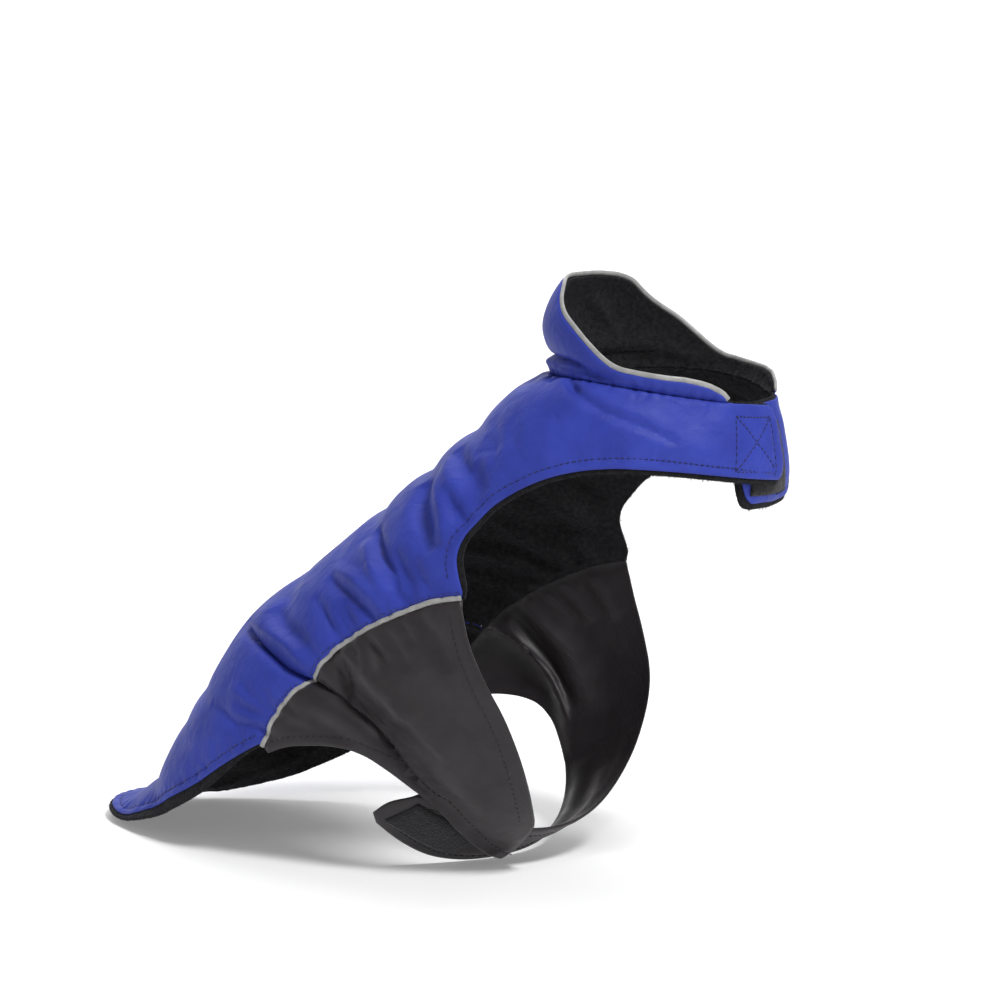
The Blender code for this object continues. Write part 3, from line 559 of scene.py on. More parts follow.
def add_fold(total, plane, line, height, width, from_seam=False):
    """Adds one fold's height to the points that it reaches, on whichever turn round the body."""
    along = np.linspace(0, 1, len(line))
    power = SHARP_POWER if width < SHARP_BELOW else ROUND_POWER
    for turn in (-1, 0, 1):
        moved = plane + turn * FULL_TURN
        near = near_line(moved, line, REACH * width)
        if not len(near):
            continue
        away, place = nearest_on_line(moved[near], line, along)
        if from_seam:
            fade = (1 - place) ** SEAM_FADE
        else:
            fade = np.sqrt(np.clip(np.sin(np.pi * place), 0, 1))
        total[near] += height * fade * np.exp(-((away / width) ** power))


# Seams that pucker the cloth: how far the puckers reach from them, and how deep they are.
PUCKER_SEED = 7
Puckered = namedtuple("Puckered", "line reach depth")
NECK_PUCKER_ANGLE = 148         # the neck's puckers stop this far round
PUCKER_START = (1.0, 5.0)       # the first one's place along the seam, in rim pitches
PUCKER_SPACING = (2.6, 6.4)     # to the next one, in rim pitches
PUCKER_LENGTH = (0.4, 1.25)     # as a share of the reach
PUCKER_DEPTH = (0.35, 1.3)      # as a share of the depth
PUCKER_WIDTH = (1.5, 2.6)
PUCKER_LEAN = (-0.5, 0.5)       # along the seam, for each mm out from it
PUCKER_BEND = (-0.12, 0.12)     # as a share of its length
PUCKER_POINTS = 5


def puckered_seams():
    """The sewn lines that pucker the cloth."""
    hem = beside(trace(WHOLE_HEM, RIM_PITCH), FREE_STITCH)
    return table(
        Puckered,
        (trace(round_neck(0, NECK_PUCKER_ANGLE), RIM_PITCH), 10.0, 1.2),
        (trace(SIDE_SEAM, RIM_PITCH), 15.0, 1.3),
        (trace(LEFT_SIDE_SEAM, RIM_PITCH), 15.0, 1.3),
        (trace(ARMHOLE_STITCH, RIM_PITCH), 7.0, 0.5),
        (trace(LEFT_ARMHOLE_STITCH, RIM_PITCH), 7.0, 0.5),
        (hem, 10.0, 0.9),
    )


def pucker_lines():
    """Small folds that start on a seam and run out over the cloth on both sides."""
    draw = np.random.default_rng(PUCKER_SEED)
    puckers = []
    for line, reach, depth in puckered_seams():
        ahead = unit(np.gradient(line, axis=0))
        across = quarter_turn(ahead)
        for side in (-1.0, 1.0):
            place = draw.uniform(*PUCKER_START)
            while place < len(line) - 2:
                at = int(place)
                length = reach * draw.uniform(*PUCKER_LENGTH)
                lean = draw.uniform(*PUCKER_LEAN)
                height = -depth * draw.uniform(*PUCKER_DEPTH)
                width = draw.uniform(*PUCKER_WIDTH)
                way = side * across[at] + lean * ahead[at]
                bend = ahead[at] * draw.uniform(*PUCKER_BEND) * length
                steps = np.linspace(0, 1, PUCKER_POINTS)[:, None]
                puckers.append((line[at] + way * length * steps + bend * steps**2, height, width))
                place += draw.uniform(*PUCKER_SPACING)
    return puckers


PUCKERS = pucker_lines()


def patch_rim(patch):
    """A patch's outline in the plane, with points along each side."""
    corners = marks(
        (patch.station_from, patch.angle_from), (patch.station_from, patch.angle_to),
        (patch.station_to, patch.angle_to), (patch.station_to, patch.angle_from),
    )
    return np.concatenate([
        trace((corners[i], corners[(i + 1) % 4]), RIM_PITCH)[:-1] for i in range(4)
    ])


Sewing = namedtuple("Sewing", "name thread lines")


def sewn_lines():
    """Topstitched lines, in the plane, by the piece that their stitches make."""
    def sewn(places, inset=0.0):
        line = trace(places, SEWING_PITCH)
        return beside(line, inset) if inset else line

    box = patch_rim(CHEST_BOX)
    near, far, outer, inner = CHEST_BOX
    return table(
        Sewing,
        ("armhole_stitching", "navy_thread", [sewn(ARMHOLE_STITCH), sewn(LEFT_ARMHOLE_STITCH)]),
        ("hem_stitching", "navy_thread", [sewn(WHOLE_HEM, FREE_STITCH)]),
        ("chest_box_stitching", "navy_thread", [
            np.concatenate([box, box[:1]]),
            sewn(marks((near, outer), (far, inner))), sewn(marks((far, outer), (near, inner))),
        ]),
        ("seam_stitching", "blue_thread", [
            sewn(SIDE_SEAM, SEAM_STITCH), sewn(LEFT_SIDE_SEAM, SEAM_STITCH),
        ]),
        ("belly_stitching", "black_thread", [
            sewn(BELLY_REAR, FREE_STITCH), sewn(BELLY_FRONT, FREE_STITCH),
            sewn(LEFT_BELLY_REAR, -FREE_STITCH), sewn(LEFT_BELLY_FRONT, -FREE_STITCH),
        ]),
    )


# Every third point of a sewn line is enough for its groove. Seams dip by themselves.
SEWN_GROOVES = [line[::3] for sewing in sewn_lines() if sewing.name != "seam_stitching"
                for line in sewing.lines]


def heights(plane):
    """All that folds, creases, puckers and laps add to the cloth's height, in mm."""
    total = np.zeros(len(plane))
    for fold in FOLDS:
        add_fold(total, plane, trace(fold.path, FOLD_STEP), fold.height, fold.width)
    for fold in CREASES:
        add_fold(total, plane, trace(fold.path, CREASE_STEP), CREASE_GAIN * fold.height, fold.width)
    for line, height, width in PUCKERS:
        add_fold(total, plane, line, height, width, from_seam=True)
    for line in SEWN_GROOVES:
        add_fold(total, plane, line, -SEWN_IN, SEWN_WIDTH)
    return total + lap_heights(plane)


def slides(plane):
    """How far the tucks move the cloth over the form, in the plane."""
    moved = np.zeros_like(plane)
    for tuck in TUCKS:
        line = trace(tuck.path, CREASE_STEP)
        along = np.linspace(0, 1, len(line))
        near = near_line(plane, line, TUCK_REACH * tuck.width)
        if not len(near):
            continue
        away, place = nearest_on_line(plane[near], line, along)
        way = read_line(place, along, line) - plane[near]
        headward = way[:, 1] > 0
        way /= np.maximum(away, ON_LINE)[:, None]
        swell = away / tuck.width * np.exp(1 - away / tuck.width)
        fade = np.clip(np.sin(np.pi * place), 0, 1) ** TUCK_FADE
        moved[near] += way * (tuck.slide * swell * fade * headward)[:, None]
    return moved


class Cloth:
    """Pattern points with their place on the form, their outward way and their height."""

    def __init__(self, plane):
        seat = plane + slides(plane)
        self.normals = form_normals(seat)
        self.points = form_points(seat) - form_points(np.array([[0.0, WITHERS_STATION]]))
        self.height = heights(plane)

    def at(self, height):
        """The points at a height over the form, in metres."""
        total = self.height + height
        return (self.points + self.normals * total[:, None]) * MM


# ---- cutting a piece ----
def rim_of(sections):
    """One closed rim from sections that follow each other, without doubled corners."""
    rim = np.concatenate(sections)
    keep = np.linalg.norm(rim - np.roll(rim, 1, axis=0), axis=1) > SAME_POINT
    return rim[keep]


def inside(points, rim):
    """Which points lie inside a closed rim."""
    x0, y0 = rim[:, 0], rim[:, 1]
    x1, y1 = np.roll(x0, -1), np.roll(y0, -1)
    rise = np.where(y1 == y0, 1.0, y1 - y0)
    found = []
    for start in range(0, len(points), POINT_BLOCK):
        block = points[start:start + POINT_BLOCK]
        x, y = block[:, 0, None], block[:, 1, None]
        crosses = (y0 > y) != (y1 > y)
        left_of = x < x0 + (y - y0) * (x1 - x0) / rise
        found.append((crosses & left_of).sum(axis=1) % 2 == 1)
    return np.concatenate(found)


def open_edges(triangles):
    """Edges with a triangle on one side only, in that triangle's direction."""
    directed = {
        (triangle[i], triangle[(i + 1) % 3]) for triangle in triangles for i in range(3)
    }
    return [(a, b) for a, b in directed if (b, a) not in directed]


def from_line(plane, line):
    """Distance in the plane from each point to the nearest point of a line."""
    near = np.full(len(plane), np.inf)
    for start in range(0, len(line), LINE_BLOCK):
        block = line[start:start + LINE_BLOCK]
        gaps = np.linalg.norm(plane[:, None] - block[None], axis=2)
        near = np.minimum(near, gaps.min(axis=1))
    return near


def outward_of(rim):
    """Outward directions at the points of a closed rim, whichever way round it runs."""
    ahead = unit(np.roll(rim, -1, axis=0) - np.roll(rim, 1, axis=0))
    x, y = rim[:, 0], rim[:, 1]
    turning = (x * np.roll(y, -1) - np.roll(x, -1) * y).sum()
    return -quarter_turn(ahead) if turning > 0 else quarter_turn(ahead)


def cut(rim, pitch):
    """Points and triangles that fill a rim, with finer rows just inside its edge."""
    outward = outward_of(rim)
    fixed = rim
    for inset in EDGE_ROWS:
        row = rim - outward * inset
        row = row[inside(row, rim)]
        row = row[from_line(row, rim) >= CLEAR_OF_EDGE * inset]
        fixed = np.concatenate([fixed, row])
    low, high = rim.min(axis=0), rim.max(axis=0)
    grid = np.array([
        (x + pitch / 2 * (row % 2), y)
        for row, y in enumerate(np.arange(low[1], high[1], ROW_STEP * pitch))
        for x in np.arange(low[0], high[0], pitch)
    ])
    grid = grid[inside(grid, rim)]
    grid = grid[from_line(grid, fixed) >= CLEAR_OF_RIM * pitch]
    points = np.concatenate([fixed, grid])
    edges = [(i, (i + 1) % len(rim)) for i in range(len(rim))]
    found, _, triangles, *_ = delaunay_2d_cdt([Vector(p) for p in points], edges, [], 0, SAME_PLACE, False)
    plane = np.array([tuple(point) for point in found])
    triangles = np.array(triangles)
    chosen = triangles[inside(plane[triangles].mean(axis=1), rim)]
    used, renumbered = np.unique(chosen, return_inverse=True)
    return plane[used], renumbered.reshape(chosen.shape)


# ---- objects and materials ----
def make_object(name, points, faces, material, plane=None):
    """A smooth mesh object on the vest's body, with the cut's plane as its UV map."""
    mesh = bpy.data.meshes.new(name)
    mesh.from_pydata(points.tolist(), [], faces.tolist() if isinstance(faces, np.ndarray) else faces)
    if plane is not None:
        layer = mesh.uv_layers.new(name="cut")
        corners = np.empty(len(mesh.loops), int)
        mesh.loops.foreach_get("vertex_index", corners)
        layer.data.foreach_set("uv", (plane[corners] * MM).ravel())
    shaper = bmesh.new()
    shaper.from_mesh(mesh)
    bmesh.ops.recalc_face_normals(shaper, faces=shaper.faces)
    shaper.to_mesh(mesh)
    shaper.free()
    mesh.shade_smooth()
    mesh.materials.append(MATERIALS[material])
    thing = bpy.data.objects.new(name, mesh)
    bpy.context.scene.collection.objects.link(thing)
    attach(thing, "root")
    return thing


NOISE_RANGE = (0.3, 0.7)    # a noise texture seldom leaves this
WAVE_PITCH = 0.314          # a wave texture's bands lie this over its scale apart


class Nodes:
    """A material's node tree, with short calls to add and join nodes."""

    def __init__(self, name, colour, roughness, **settings):
        self.material = bpy.data.materials.new(name)
        self.material.use_nodes = True
        self.tree = self.material.node_tree
        self.shader = self.tree.nodes["Principled BSDF"]
        self.coordinates = self.add("ShaderNodeTexCoord")
        self.bump = None
        self.set(self.shader, Base_Color=(*colour, 1), Roughness=roughness, **settings)

    def add(self, kind, **settings):
        """A new node, with its inputs set."""
        return self.set(self.tree.nodes.new(kind), **settings)

    def set(self, node, **settings):
        """Sets a node's inputs. An underscore stands for a space."""
        for socket, value in settings.items():
            node.inputs[socket.replace("_", " ")].default_value = value
        return node

    def join(self, start, end):
        self.tree.links.new(start, end)

    def noise(self, scale, detail, stretch=None, distortion=0.0):
        """Noise over the object, stretched if stretch gives the three factors."""
        node = self.add("ShaderNodeTexNoise", Scale=scale, Detail=detail, Distortion=distortion)
        place = self.coordinates.outputs["Object"]
        if stretch:
            mapping = self.add("ShaderNodeMapping", Scale=stretch)
            self.join(place, mapping.inputs["Vector"])
            place = mapping.outputs["Vector"]
        self.join(place, node.inputs["Vector"])
        return node.outputs["Fac"]

    def cells(self, scale):
        """Small round cells, by the distance to their middles."""
        node = self.add("ShaderNodeTexVoronoi", Scale=scale)
        self.join(self.coordinates.outputs["Object"], node.inputs["Vector"])
        return node.outputs["Distance"]

    def threads(self, pitch, direction, tilt=0.0):
        """Ribs of a weave across the cut, a pitch in metres apart."""
        node = self.add("ShaderNodeTexWave", Scale=WAVE_PITCH / pitch, Distortion=0.6, Detail=1.0)
        node.bands_direction = direction
        mapping = self.add("ShaderNodeMapping", Rotation=(0, 0, tilt))
        self.join(self.coordinates.outputs["UV"], mapping.inputs["Vector"])
        self.join(mapping.outputs["Vector"], node.inputs["Vector"])
        return node.outputs["Fac"]

    def add_bump(self, height, strength, distance):
        """Bump from a height, on top of the bump that is there already."""
        node = self.add("ShaderNodeBump", Strength=strength, Distance=distance)
        self.join(height, node.inputs["Height"])
        if self.bump:
            self.join(self.bump.outputs["Normal"], node.inputs["Normal"])
        self.bump = node
        self.join(node.outputs["Normal"], self.shader.inputs["Normal"])

    def roughness(self, fac, low, high):
        """The factor, spread between two values, as the roughness."""
        node = self.add("ShaderNodeMapRange", From_Min=NOISE_RANGE[0], From_Max=NOISE_RANGE[1],
                        To_Min=low, To_Max=high)
        self.join(fac, node.inputs["Value"])
        self.join(node.outputs["Result"], self.shader.inputs["Roughness"])

    def colours(self, fac, low, high):
        """The factor, as a blend of two colours, into the base colour."""
        node = self.add("ShaderNodeValToRGB")
        for element, position, colour in zip(node.color_ramp.elements, NOISE_RANGE, (low, high)):
            element.position = position
            element.color = (*colour, 1)
        self.join(fac, node.inputs["Fac"])
        self.join(node.outputs["Color"], self.shader.inputs["Base Color"])


def scaled(colour, share):
    """A colour made darker or lighter."""
    return tuple(share * channel for channel in colour)


def blue_nylon():
    """Plain-woven nylon over thin wadding: satin, with fine crumpling."""
    m = Nodes("blue_nylon", (0.032, 0.050, 0.34), 0.55, Sheen_Weight=0.05, Sheen_Roughness=0.4,
              Sheen_Tint=(0.3, 0.38, 1.0, 1), Specular_IOR_Level=0.16)
    m.colours(m.noise(38, 4), (0.027, 0.042, 0.295), (0.038, 0.059, 0.385))
    m.roughness(m.noise(90, 3), 0.46, 0.62)
    m.add_bump(m.noise(85, 4, distortion=0.6), 0.8, 0.0014)
    m.add_bump(m.noise(330, 3), 0.22, 0.0003)
    m.add_bump(m.threads(0.00042, "X"), 0.10, 0.00006)
    m.add_bump(m.threads(0.00046, "Y"), 0.10, 0.00006)
    return m.material


def black_nylon():
    """A closer, ribbed black nylon with a warm satin sheen."""
    m = Nodes("black_nylon", (0.022, 0.0185, 0.021), 0.44, Sheen_Weight=0.12, Sheen_Roughness=0.4,
              Sheen_Tint=(1.0, 0.93, 0.97, 1), Specular_IOR_Level=0.32)
    m.colours(m.noise(45, 4), (0.017, 0.0145, 0.0165), (0.027, 0.0230, 0.026))
    m.roughness(m.noise(110, 3), 0.42, 0.56)
    m.add_bump(m.noise(120, 3), 0.22, 0.0008)
    m.add_bump(m.threads(0.0009, "Y", 0.06), 0.20, 0.0001)
    m.add_bump(m.threads(0.0005, "X", 0.06), 0.12, 0.00006)
    return m.material


def black_fleece(name):
    """Short-pile fleece: matt, pilled, with a faint fuzz at grazing angles."""
    m = Nodes(name, (0.010, 0.010, 0.011), 1.0, Sheen_Weight=0.12, Sheen_Roughness=0.6,
              Sheen_Tint=(0.45, 0.45, 0.5, 1), Specular_IOR_Level=0.08)
    m.colours(m.noise(420, 4), (0.006, 0.006, 0.007), (0.017, 0.017, 0.018))
    m.add_bump(m.noise(520, 5, distortion=0.8), 0.9, 0.0011)
    m.add_bump(m.noise(1900, 3), 0.7, 0.0004)
    return m.material


def grey_piping():
    """Reflective tape over a cord: grey, satin, of tiny beads."""
    m = Nodes("grey_piping", (0.33, 0.33, 0.32), 0.42, Sheen_Weight=0.1, Sheen_Roughness=0.3,
              Specular_IOR_Level=0.55)
    m.colours(m.noise(240, 4), (0.27, 0.27, 0.265), (0.38, 0.38, 0.37))
    m.roughness(m.noise(160, 2), 0.34, 0.52)
    m.add_bump(m.noise(300, 3), 0.25, 0.0003)
    m.add_bump(m.cells(4200), 0.25, 0.00005)
    return m.material


def tape(name, colour, scale, roughness):
    """Hook or loop tape: a dense field of tiny loops or stems."""
    m = Nodes(name, colour, roughness, Sheen_Weight=0.25, Sheen_Roughness=0.5,
              Sheen_Tint=(0.6, 0.6, 0.65, 1), Specular_IOR_Level=0.3)
    m.colours(m.noise(scale / 3, 3), scaled(colour, 0.7), scaled(colour, 1.5))
    m.add_bump(m.cells(scale), 0.9, 0.0005)
    m.add_bump(m.noise(scale * 1.5, 3), 0.5, 0.0003)
    return m.material


def thread(name, colour):
    """Twisted sewing thread."""
    m = Nodes(name, colour, 0.6, Sheen_Weight=0.2, Sheen_Roughness=0.4, Specular_IOR_Level=0.35)
    m.colours(m.noise(1400, 2), scaled(colour, 0.75), scaled(colour, 1.3))
    m.add_bump(m.noise(3000, 2, (1, 1, 0.2)), 0.6, 0.0001)
    return m.material


MATERIALS = {
    "blue_nylon": blue_nylon(),
    "black_nylon": black_nylon(),
    "black_fleece": black_fleece("black_fleece"),
    "fleece_pile": black_fleece("fleece_pile"),
    "grey_piping": grey_piping(),
    "loop_tape": tape("loop_tape", (0.011, 0.011, 0.012), scale=1100, roughness=0.95),
    "hook_tape": tape("hook_tape", (0.016, 0.016, 0.017), scale=800, roughness=0.7),
    "navy_thread": thread("navy_thread", (0.010, 0.012, 0.05)),
    "blue_thread": thread("blue_thread", (0.018, 0.026, 0.20)),
    "black_thread": thread("black_thread", (0.008, 0.007, 0.008)),
}

# ---- walls with finished edges ----
NECK_SEAM_ANGLE = 150
SEAMS = np.concatenate([
    trace(seam, SEAM_PITCH) for seam in (SIDE_SEAM, LEFT_SIDE_SEAM, round_neck(0, NECK_SEAM_ANGLE))
])
SEAM_DIP = 1.7              # how far an edge turns in at a seam
SEAM_DIP_WIDTH = 2.4
SEAM_DIP_POWER = 1.6
EDGE_ROUND = 0.75           # the rounding of a free, bagged edge
EDGE_ROUND_WIDTH = 1.5

# Lumps in a pile: their size in the plane, and how deep they are.
Texture = namedtuple("Texture", "size depth")
FLEECE_TEXTURE = Texture(2.2, 0.35)
TAPE_TEXTURE = Texture(1.2, 0.16)
OUTER_SHARE = 0.5           # of the lumps' depth on the outer face
FINE_SHARE = 0.6            # of the finer lumps on the inner one
FINER = 2.3                 # how many times finer those are
FINE_LAYER = 9.0            # where they are read from the noise


def lumps(plane, size, layer):
    """Noise over the plane, between -1 and 1."""
    return np.array([noise.noise(Vector((x / size, y / size, layer))) for x, y in plane])


def edge_fall(plane, rim):
    """How much lower a cloth's outer and inner faces lie near its edges."""
    at_rim = np.clip(1 - from_line(plane, rim) / EDGE_ROUND_WIDTH, 0, 1)
    at_seam = np.clip(1 - from_line(plane, SEAMS) / SEAM_DIP_WIDTH, 0, 1)
    dip = SEAM_DIP * at_seam**SEAM_DIP_POWER
    return np.maximum(EDGE_ROUND * at_rim**2, dip), dip


def make_wall(name, rim, pitch, floor, top, material, texture=None):
    """A cloth wall between two heights, its edges rounded and its seams turned in."""
    plane, triangles = cut(rim, pitch)
    cloth = Cloth(plane)
    fall, dip = edge_fall(plane, rim)
    upper, lower = top - fall, floor - dip
    if texture:
        rough = lumps(plane, texture.size, 0.0)
        fine = lumps(plane, texture.size / FINER, FINE_LAYER)
        upper = upper + texture.depth * OUTER_SHARE * rough
        lower = lower - texture.depth * (rough + FINE_SHARE * fine)
    points = np.concatenate([cloth.at(upper), cloth.at(lower)])
    count = len(plane)
    walls = []
    for a, b in open_edges(triangles.tolist()):
        walls += [(b, a, a + count), (b, a + count, b + count)]
    faces = np.concatenate([triangles, triangles[:, [0, 2, 1]] + count, np.array(walls)])
    return make_object(name, points, faces, material, np.concatenate([plane, plane]))


# ---- piping and stitches ----
PIPING_SIDES = 10
PIPING_RADIUS = PIPING_DIAMETER / 2 * MM
WIDENED, FLATTENED = 1.3, 0.8       # by the sewing, against round piping

# One stitch, along its length: place from its middle, share of the radius, lift in mm.
StitchRing = namedtuple("StitchRing", "place girth lift")
STITCH_RINGS = table(
    StitchRing,
    (-0.5, 0.35, -0.42), (-0.42, 1.0, -0.05), (0.0, 1.1, 0.16), (0.42, 1.0, -0.05), (0.5, 0.35, -0.42),
)
STITCH_SIDES = 5
STITCH_LIFT = 0.15


def ring_points(centres, side, up, sides):
    """Rings round some centres, where side and up are the half axes of each."""
    turns = np.arange(sides) * 2 * np.pi / sides
    cos, sin = np.cos(turns)[None, :, None], np.sin(turns)[None, :, None]
    return (centres[:, None] + side[:, None] * cos + up[:, None] * sin).reshape(-1, 3)


def tube_faces(rings, sides, first=0):
    """Faces of a closed tube of rings, from its first point on."""
    last = first + rings * sides - 1
    faces = [tuple(first + i for i in range(sides)), tuple(last - i for i in range(sides))]
    for ring in range(rings - 1):
        for i in range(sides):
            a, b = first + ring * sides + i, first + ring * sides + (i + 1) % sides
            faces.append((a, a + sides, b + sides, b))
    return faces


def make_piping(name, line, height):
    """Piping along a line of the plane, a little flattened."""
    cloth = Cloth(line)
    centres = cloth.at(height)
    ahead = np.gradient(centres, axis=0)
    side = unit(np.cross(ahead, cloth.at(height + 1.0) - centres))
    up = unit(np.cross(side, ahead))
    side, up = WIDENED * PIPING_RADIUS * side, FLATTENED * PIPING_RADIUS * up
    points = ring_points(centres, side, up, PIPING_SIDES)
    faces = tube_faces(len(centres), PIPING_SIDES)
    return make_object(name, points, faces, "grey_piping", np.repeat(line, PIPING_SIDES, axis=0))


def make_stitches(name, material, lines):
    """Single stitches along the lines, each one dipping into the cloth at its ends."""
    rings = len(STITCH_RINGS)
    places, girths, lifts = (np.array(column) for column in zip(*STITCH_RINGS))
    points, faces = [], []
    for line in lines:
        run = run_along(line)
        starts = np.arange(STITCH_PITCH / 2, run[-1] - STITCH_PITCH / 2, STITCH_PITCH)
        cloth = Cloth(read_line((starts[:, None] + places * STITCH_LENGTH).ravel(), run, line))
        lift = np.tile(lifts, len(starts))
        girth = (np.tile(girths, len(starts)) * THREAD_RADIUS * MM)[:, None]
        centres = cloth.at(SHELL_TOP + STITCH_LIFT + lift)
        up = unit(cloth.at(SHELL_TOP + STITCH_LIFT + lift + 1.0) - centres)
        stitches = centres.reshape(len(starts), rings, 3)
        ahead = np.repeat(stitches[:, -1] - stitches[:, 0], rings, axis=0)
        side = unit(np.cross(ahead, up))
        for stitch in range(len(starts)):
            faces += tube_faces(rings, STITCH_SIDES, len(points) + stitch * rings * STITCH_SIDES)
        points.extend(ring_points(centres, girth * side, girth * up, STITCH_SIDES).tolist())
    return make_object(name, np.array(points), faces, material)


# ---- pile along the fleece's edge ----
PILE_SEED = 11
PILE_PER_MM = 7.0
PILE_LENGTH = 1.5
PILE_HALF_WIDTH = 0.07
PILE_INSET = (0.0, 1.6)     # of a fibre's root, from the rim
PILE_FROM_SEAM = 3.0        # no pile nearer a seam than this
PILE_REACH = (0.45, 1.25)   # as a share of the length
PILE_LEAN = (-0.9, 0.9)     # along the rim, as a share of the reach
PILE_RISE = (-1.0, 1.0)     # of a fibre's tip, in mm
PILE_ROOT = (0.2, LINING_WALL - 0.1)        # height of a fibre's root in the fleece

# A fibre's bend and tip: shares of its reach outward, of its lean and of its rise.
Bend = namedtuple("Bend", "out lean rise")
FIBRE_MIDDLE = Bend(0.55, 0.25, 0.45)
FIBRE_TIP = Bend(0.85, 0.75, 1.0)


def make_pile(name, rim):
    """Short bent fibres that stand out of the fleece along its edge."""
    draw = np.random.default_rng(PILE_SEED)
    step = np.linalg.norm(np.roll(rim, -1, axis=0) - rim, axis=1)
    run = np.concatenate([[0], np.cumsum(step)])
    count = int(PILE_PER_MM * step.sum())
    place = draw.uniform(0, run[-1], count)
    which = np.clip(np.searchsorted(run, place) - 1, 0, len(rim) - 1)
    share = ((place - run[which]) / step[which])[:, None]
    root = rim[which] * (1 - share) + rim[(which + 1) % len(rim)] * share
    way = outward_of(rim)[which]
    root = root - way * draw.uniform(*PILE_INSET, count)[:, None]
    clear_of_seam = from_line(root, SEAMS) > PILE_FROM_SEAM
    root, way = root[clear_of_seam], way[clear_of_seam]
    count = len(root)
    along = quarter_turn(way)
    reach = PILE_LENGTH * draw.uniform(*PILE_REACH, count)[:, None]
    lean = draw.uniform(*PILE_LEAN, count)[:, None]
    rise = draw.uniform(*PILE_RISE, count)
    root_height = draw.uniform(*PILE_ROOT, count)

    def bent(bend):
        return root + reach * (bend.out * way + bend.lean * lean * along), root_height + bend.rise * rise

    half = PILE_HALF_WIDTH * along
    middle, middle_height = bent(FIBRE_MIDDLE)
    tip, tip_height = bent(FIBRE_TIP)
    corners = (
        (root - half, root_height), (root + half, root_height),
        (middle + half, middle_height), (middle - half, middle_height), (tip, tip_height),
    )
    points = np.stack([Cloth(plane).at(height) for plane, height in corners], axis=1).reshape(-1, 3)
    faces = []
    for i in range(0, len(corners) * count, len(corners)):
        faces += [(i, i + 1, i + 2, i + 3), (i + 3, i + 2, i + 4)]
    return make_object(name, points, faces, "fleece_pile")


# ---- the rims ----
FROM_NECK_SEAM = 0.1        # how far a cloth's edge lies from the collar seam
FROM_SIDE_SEAM = 0.25       # and from a side seam
FROM_COLLAR_PIPING = 0.9
UNDER_SEAM = 1.2            # the fleece passes this far under the side seams
IN_SEAM = 1.0               # rim points nearer a seam than this are sewn into it
ROLL_PASSES = 4             # the fleece's roll is evened out along the rim this often


def back_rim():
    """The back and its chest flaps, sewn edges lying right against their seams."""
    return rim_of([
        trace(round_neck(FROM_NECK_SEAM, COLLAR_END), RIM_PITCH),
        trace(FLAP_TOP, RIM_PITCH),
        trace(FLAP_END, RIM_PITCH),
        trace(ARMHOLE, RIM_PITCH),
        beside(trace(SIDE_SEAM, RIM_PITCH), FROM_SIDE_SEAM),
        trace(WHOLE_HEM, RIM_PITCH),
        beside(trace(LEFT_SIDE_SEAM, RIM_PITCH), FROM_SIDE_SEAM),
        trace(LEFT_ARMHOLE, RIM_PITCH),
        trace(LEFT_FLAP_END, RIM_PITCH),
        trace(LEFT_FLAP_TOP, RIM_PITCH)[:-1],
    ])


def fleece_rim(rim):
    """The lining's rim: the shell's, let out by how far the fleece rolls past it."""
    angle, station = np.abs(rim[:, 0]) / MM_PER_DEGREE, rim[:, 1]
    roll = smooth(station, [row.station for row in HEM_ROLL], [row[1:] for row in HEM_ROLL])[:, 0]
    in_seam = from_line(rim, SEAMS) < IN_SEAM
    growth = np.where(station > SIDE_SEAM[-1].station, roll, FLEECE_EDGE)
    on_right = rim[:, 0] > 0
    flap_end = np.where(on_right, RIGHT_END_ANGLE, LEFT_END_ANGLE)
    flap_top = (angle > COLLAR_END + 1) & (angle < flap_end) & (station < FLAP_TOP_STATION)
    growth[flap_top] = FLEECE_AT_FLAP_TOP
    growth[on_right & (angle > flap_end)] = FLEECE_AT_RIGHT_END
    growth[~on_right & (angle > flap_end)] = FLEECE_AT_LEFT_END
    growth[in_seam] = 0.0
    for _ in range(ROLL_PASSES):
        growth = (np.roll(growth, 1) + 2 * growth + np.roll(growth, -1)) / 4
    growth[in_seam] = np.where(station[in_seam] > CHEST_ONLY, UNDER_SEAM, 0.0)
    return rim + outward_of(rim) * growth[:, None]


def panel_rim(side, front, end, rear):
    """A belly panel's rim."""
    return rim_of([side, trace(front, RIM_PITCH), trace(end, RIM_PITCH), trace(rear, RIM_PITCH)])


def collar_rim(top):
    """The collar's rim: its piped top edge, and the neck seam."""
    corner = COLLAR_TOP[-1].angle
    seam = trace(marks((-FROM_NECK_SEAM, corner), (-FROM_NECK_SEAM, -corner)), RIM_PITCH)
    return rim_of([beside(top, FROM_COLLAR_PIPING, NECK_TO_PLANE), seam])


# ---- the vest ----
def in_place_of(node, piece):
    """The piece stands for the node, which is hidden."""
    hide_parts(node)
    return piece


def make_shell(name, rim, floor, material):
    """A shell cloth, whose outer face is at the shell's height."""
    return make_wall(name, rim, SHELL_PITCH, floor, SHELL_TOP, material)


def make_fleece(name, rim):
    """A fleece lining, which lies on the form."""
    return make_wall(name, rim, LINING_PITCH, 0.0, LINING_WALL, "black_fleece", FLEECE_TEXTURE)


# The four patches, with the height of each one's inner face.
TapePiece = namedtuple("TapePiece", "name patch floor material")
TAPES = table(
    TapePiece,
    ("chest_loop", CHEST_LOOP, PATCH_FLOOR, "loop_tape"),
    ("chest_hook", CHEST_HOOK, HOOK_FLOOR - CHEST_LAP, "hook_tape"),
    ("belly_loop", BELLY_LOOP, PATCH_FLOOR, "loop_tape"),
    ("belly_hook", BELLY_HOOK, PANEL_FLOOR - GAP - PATCH_WALL, "hook_tape"),
)


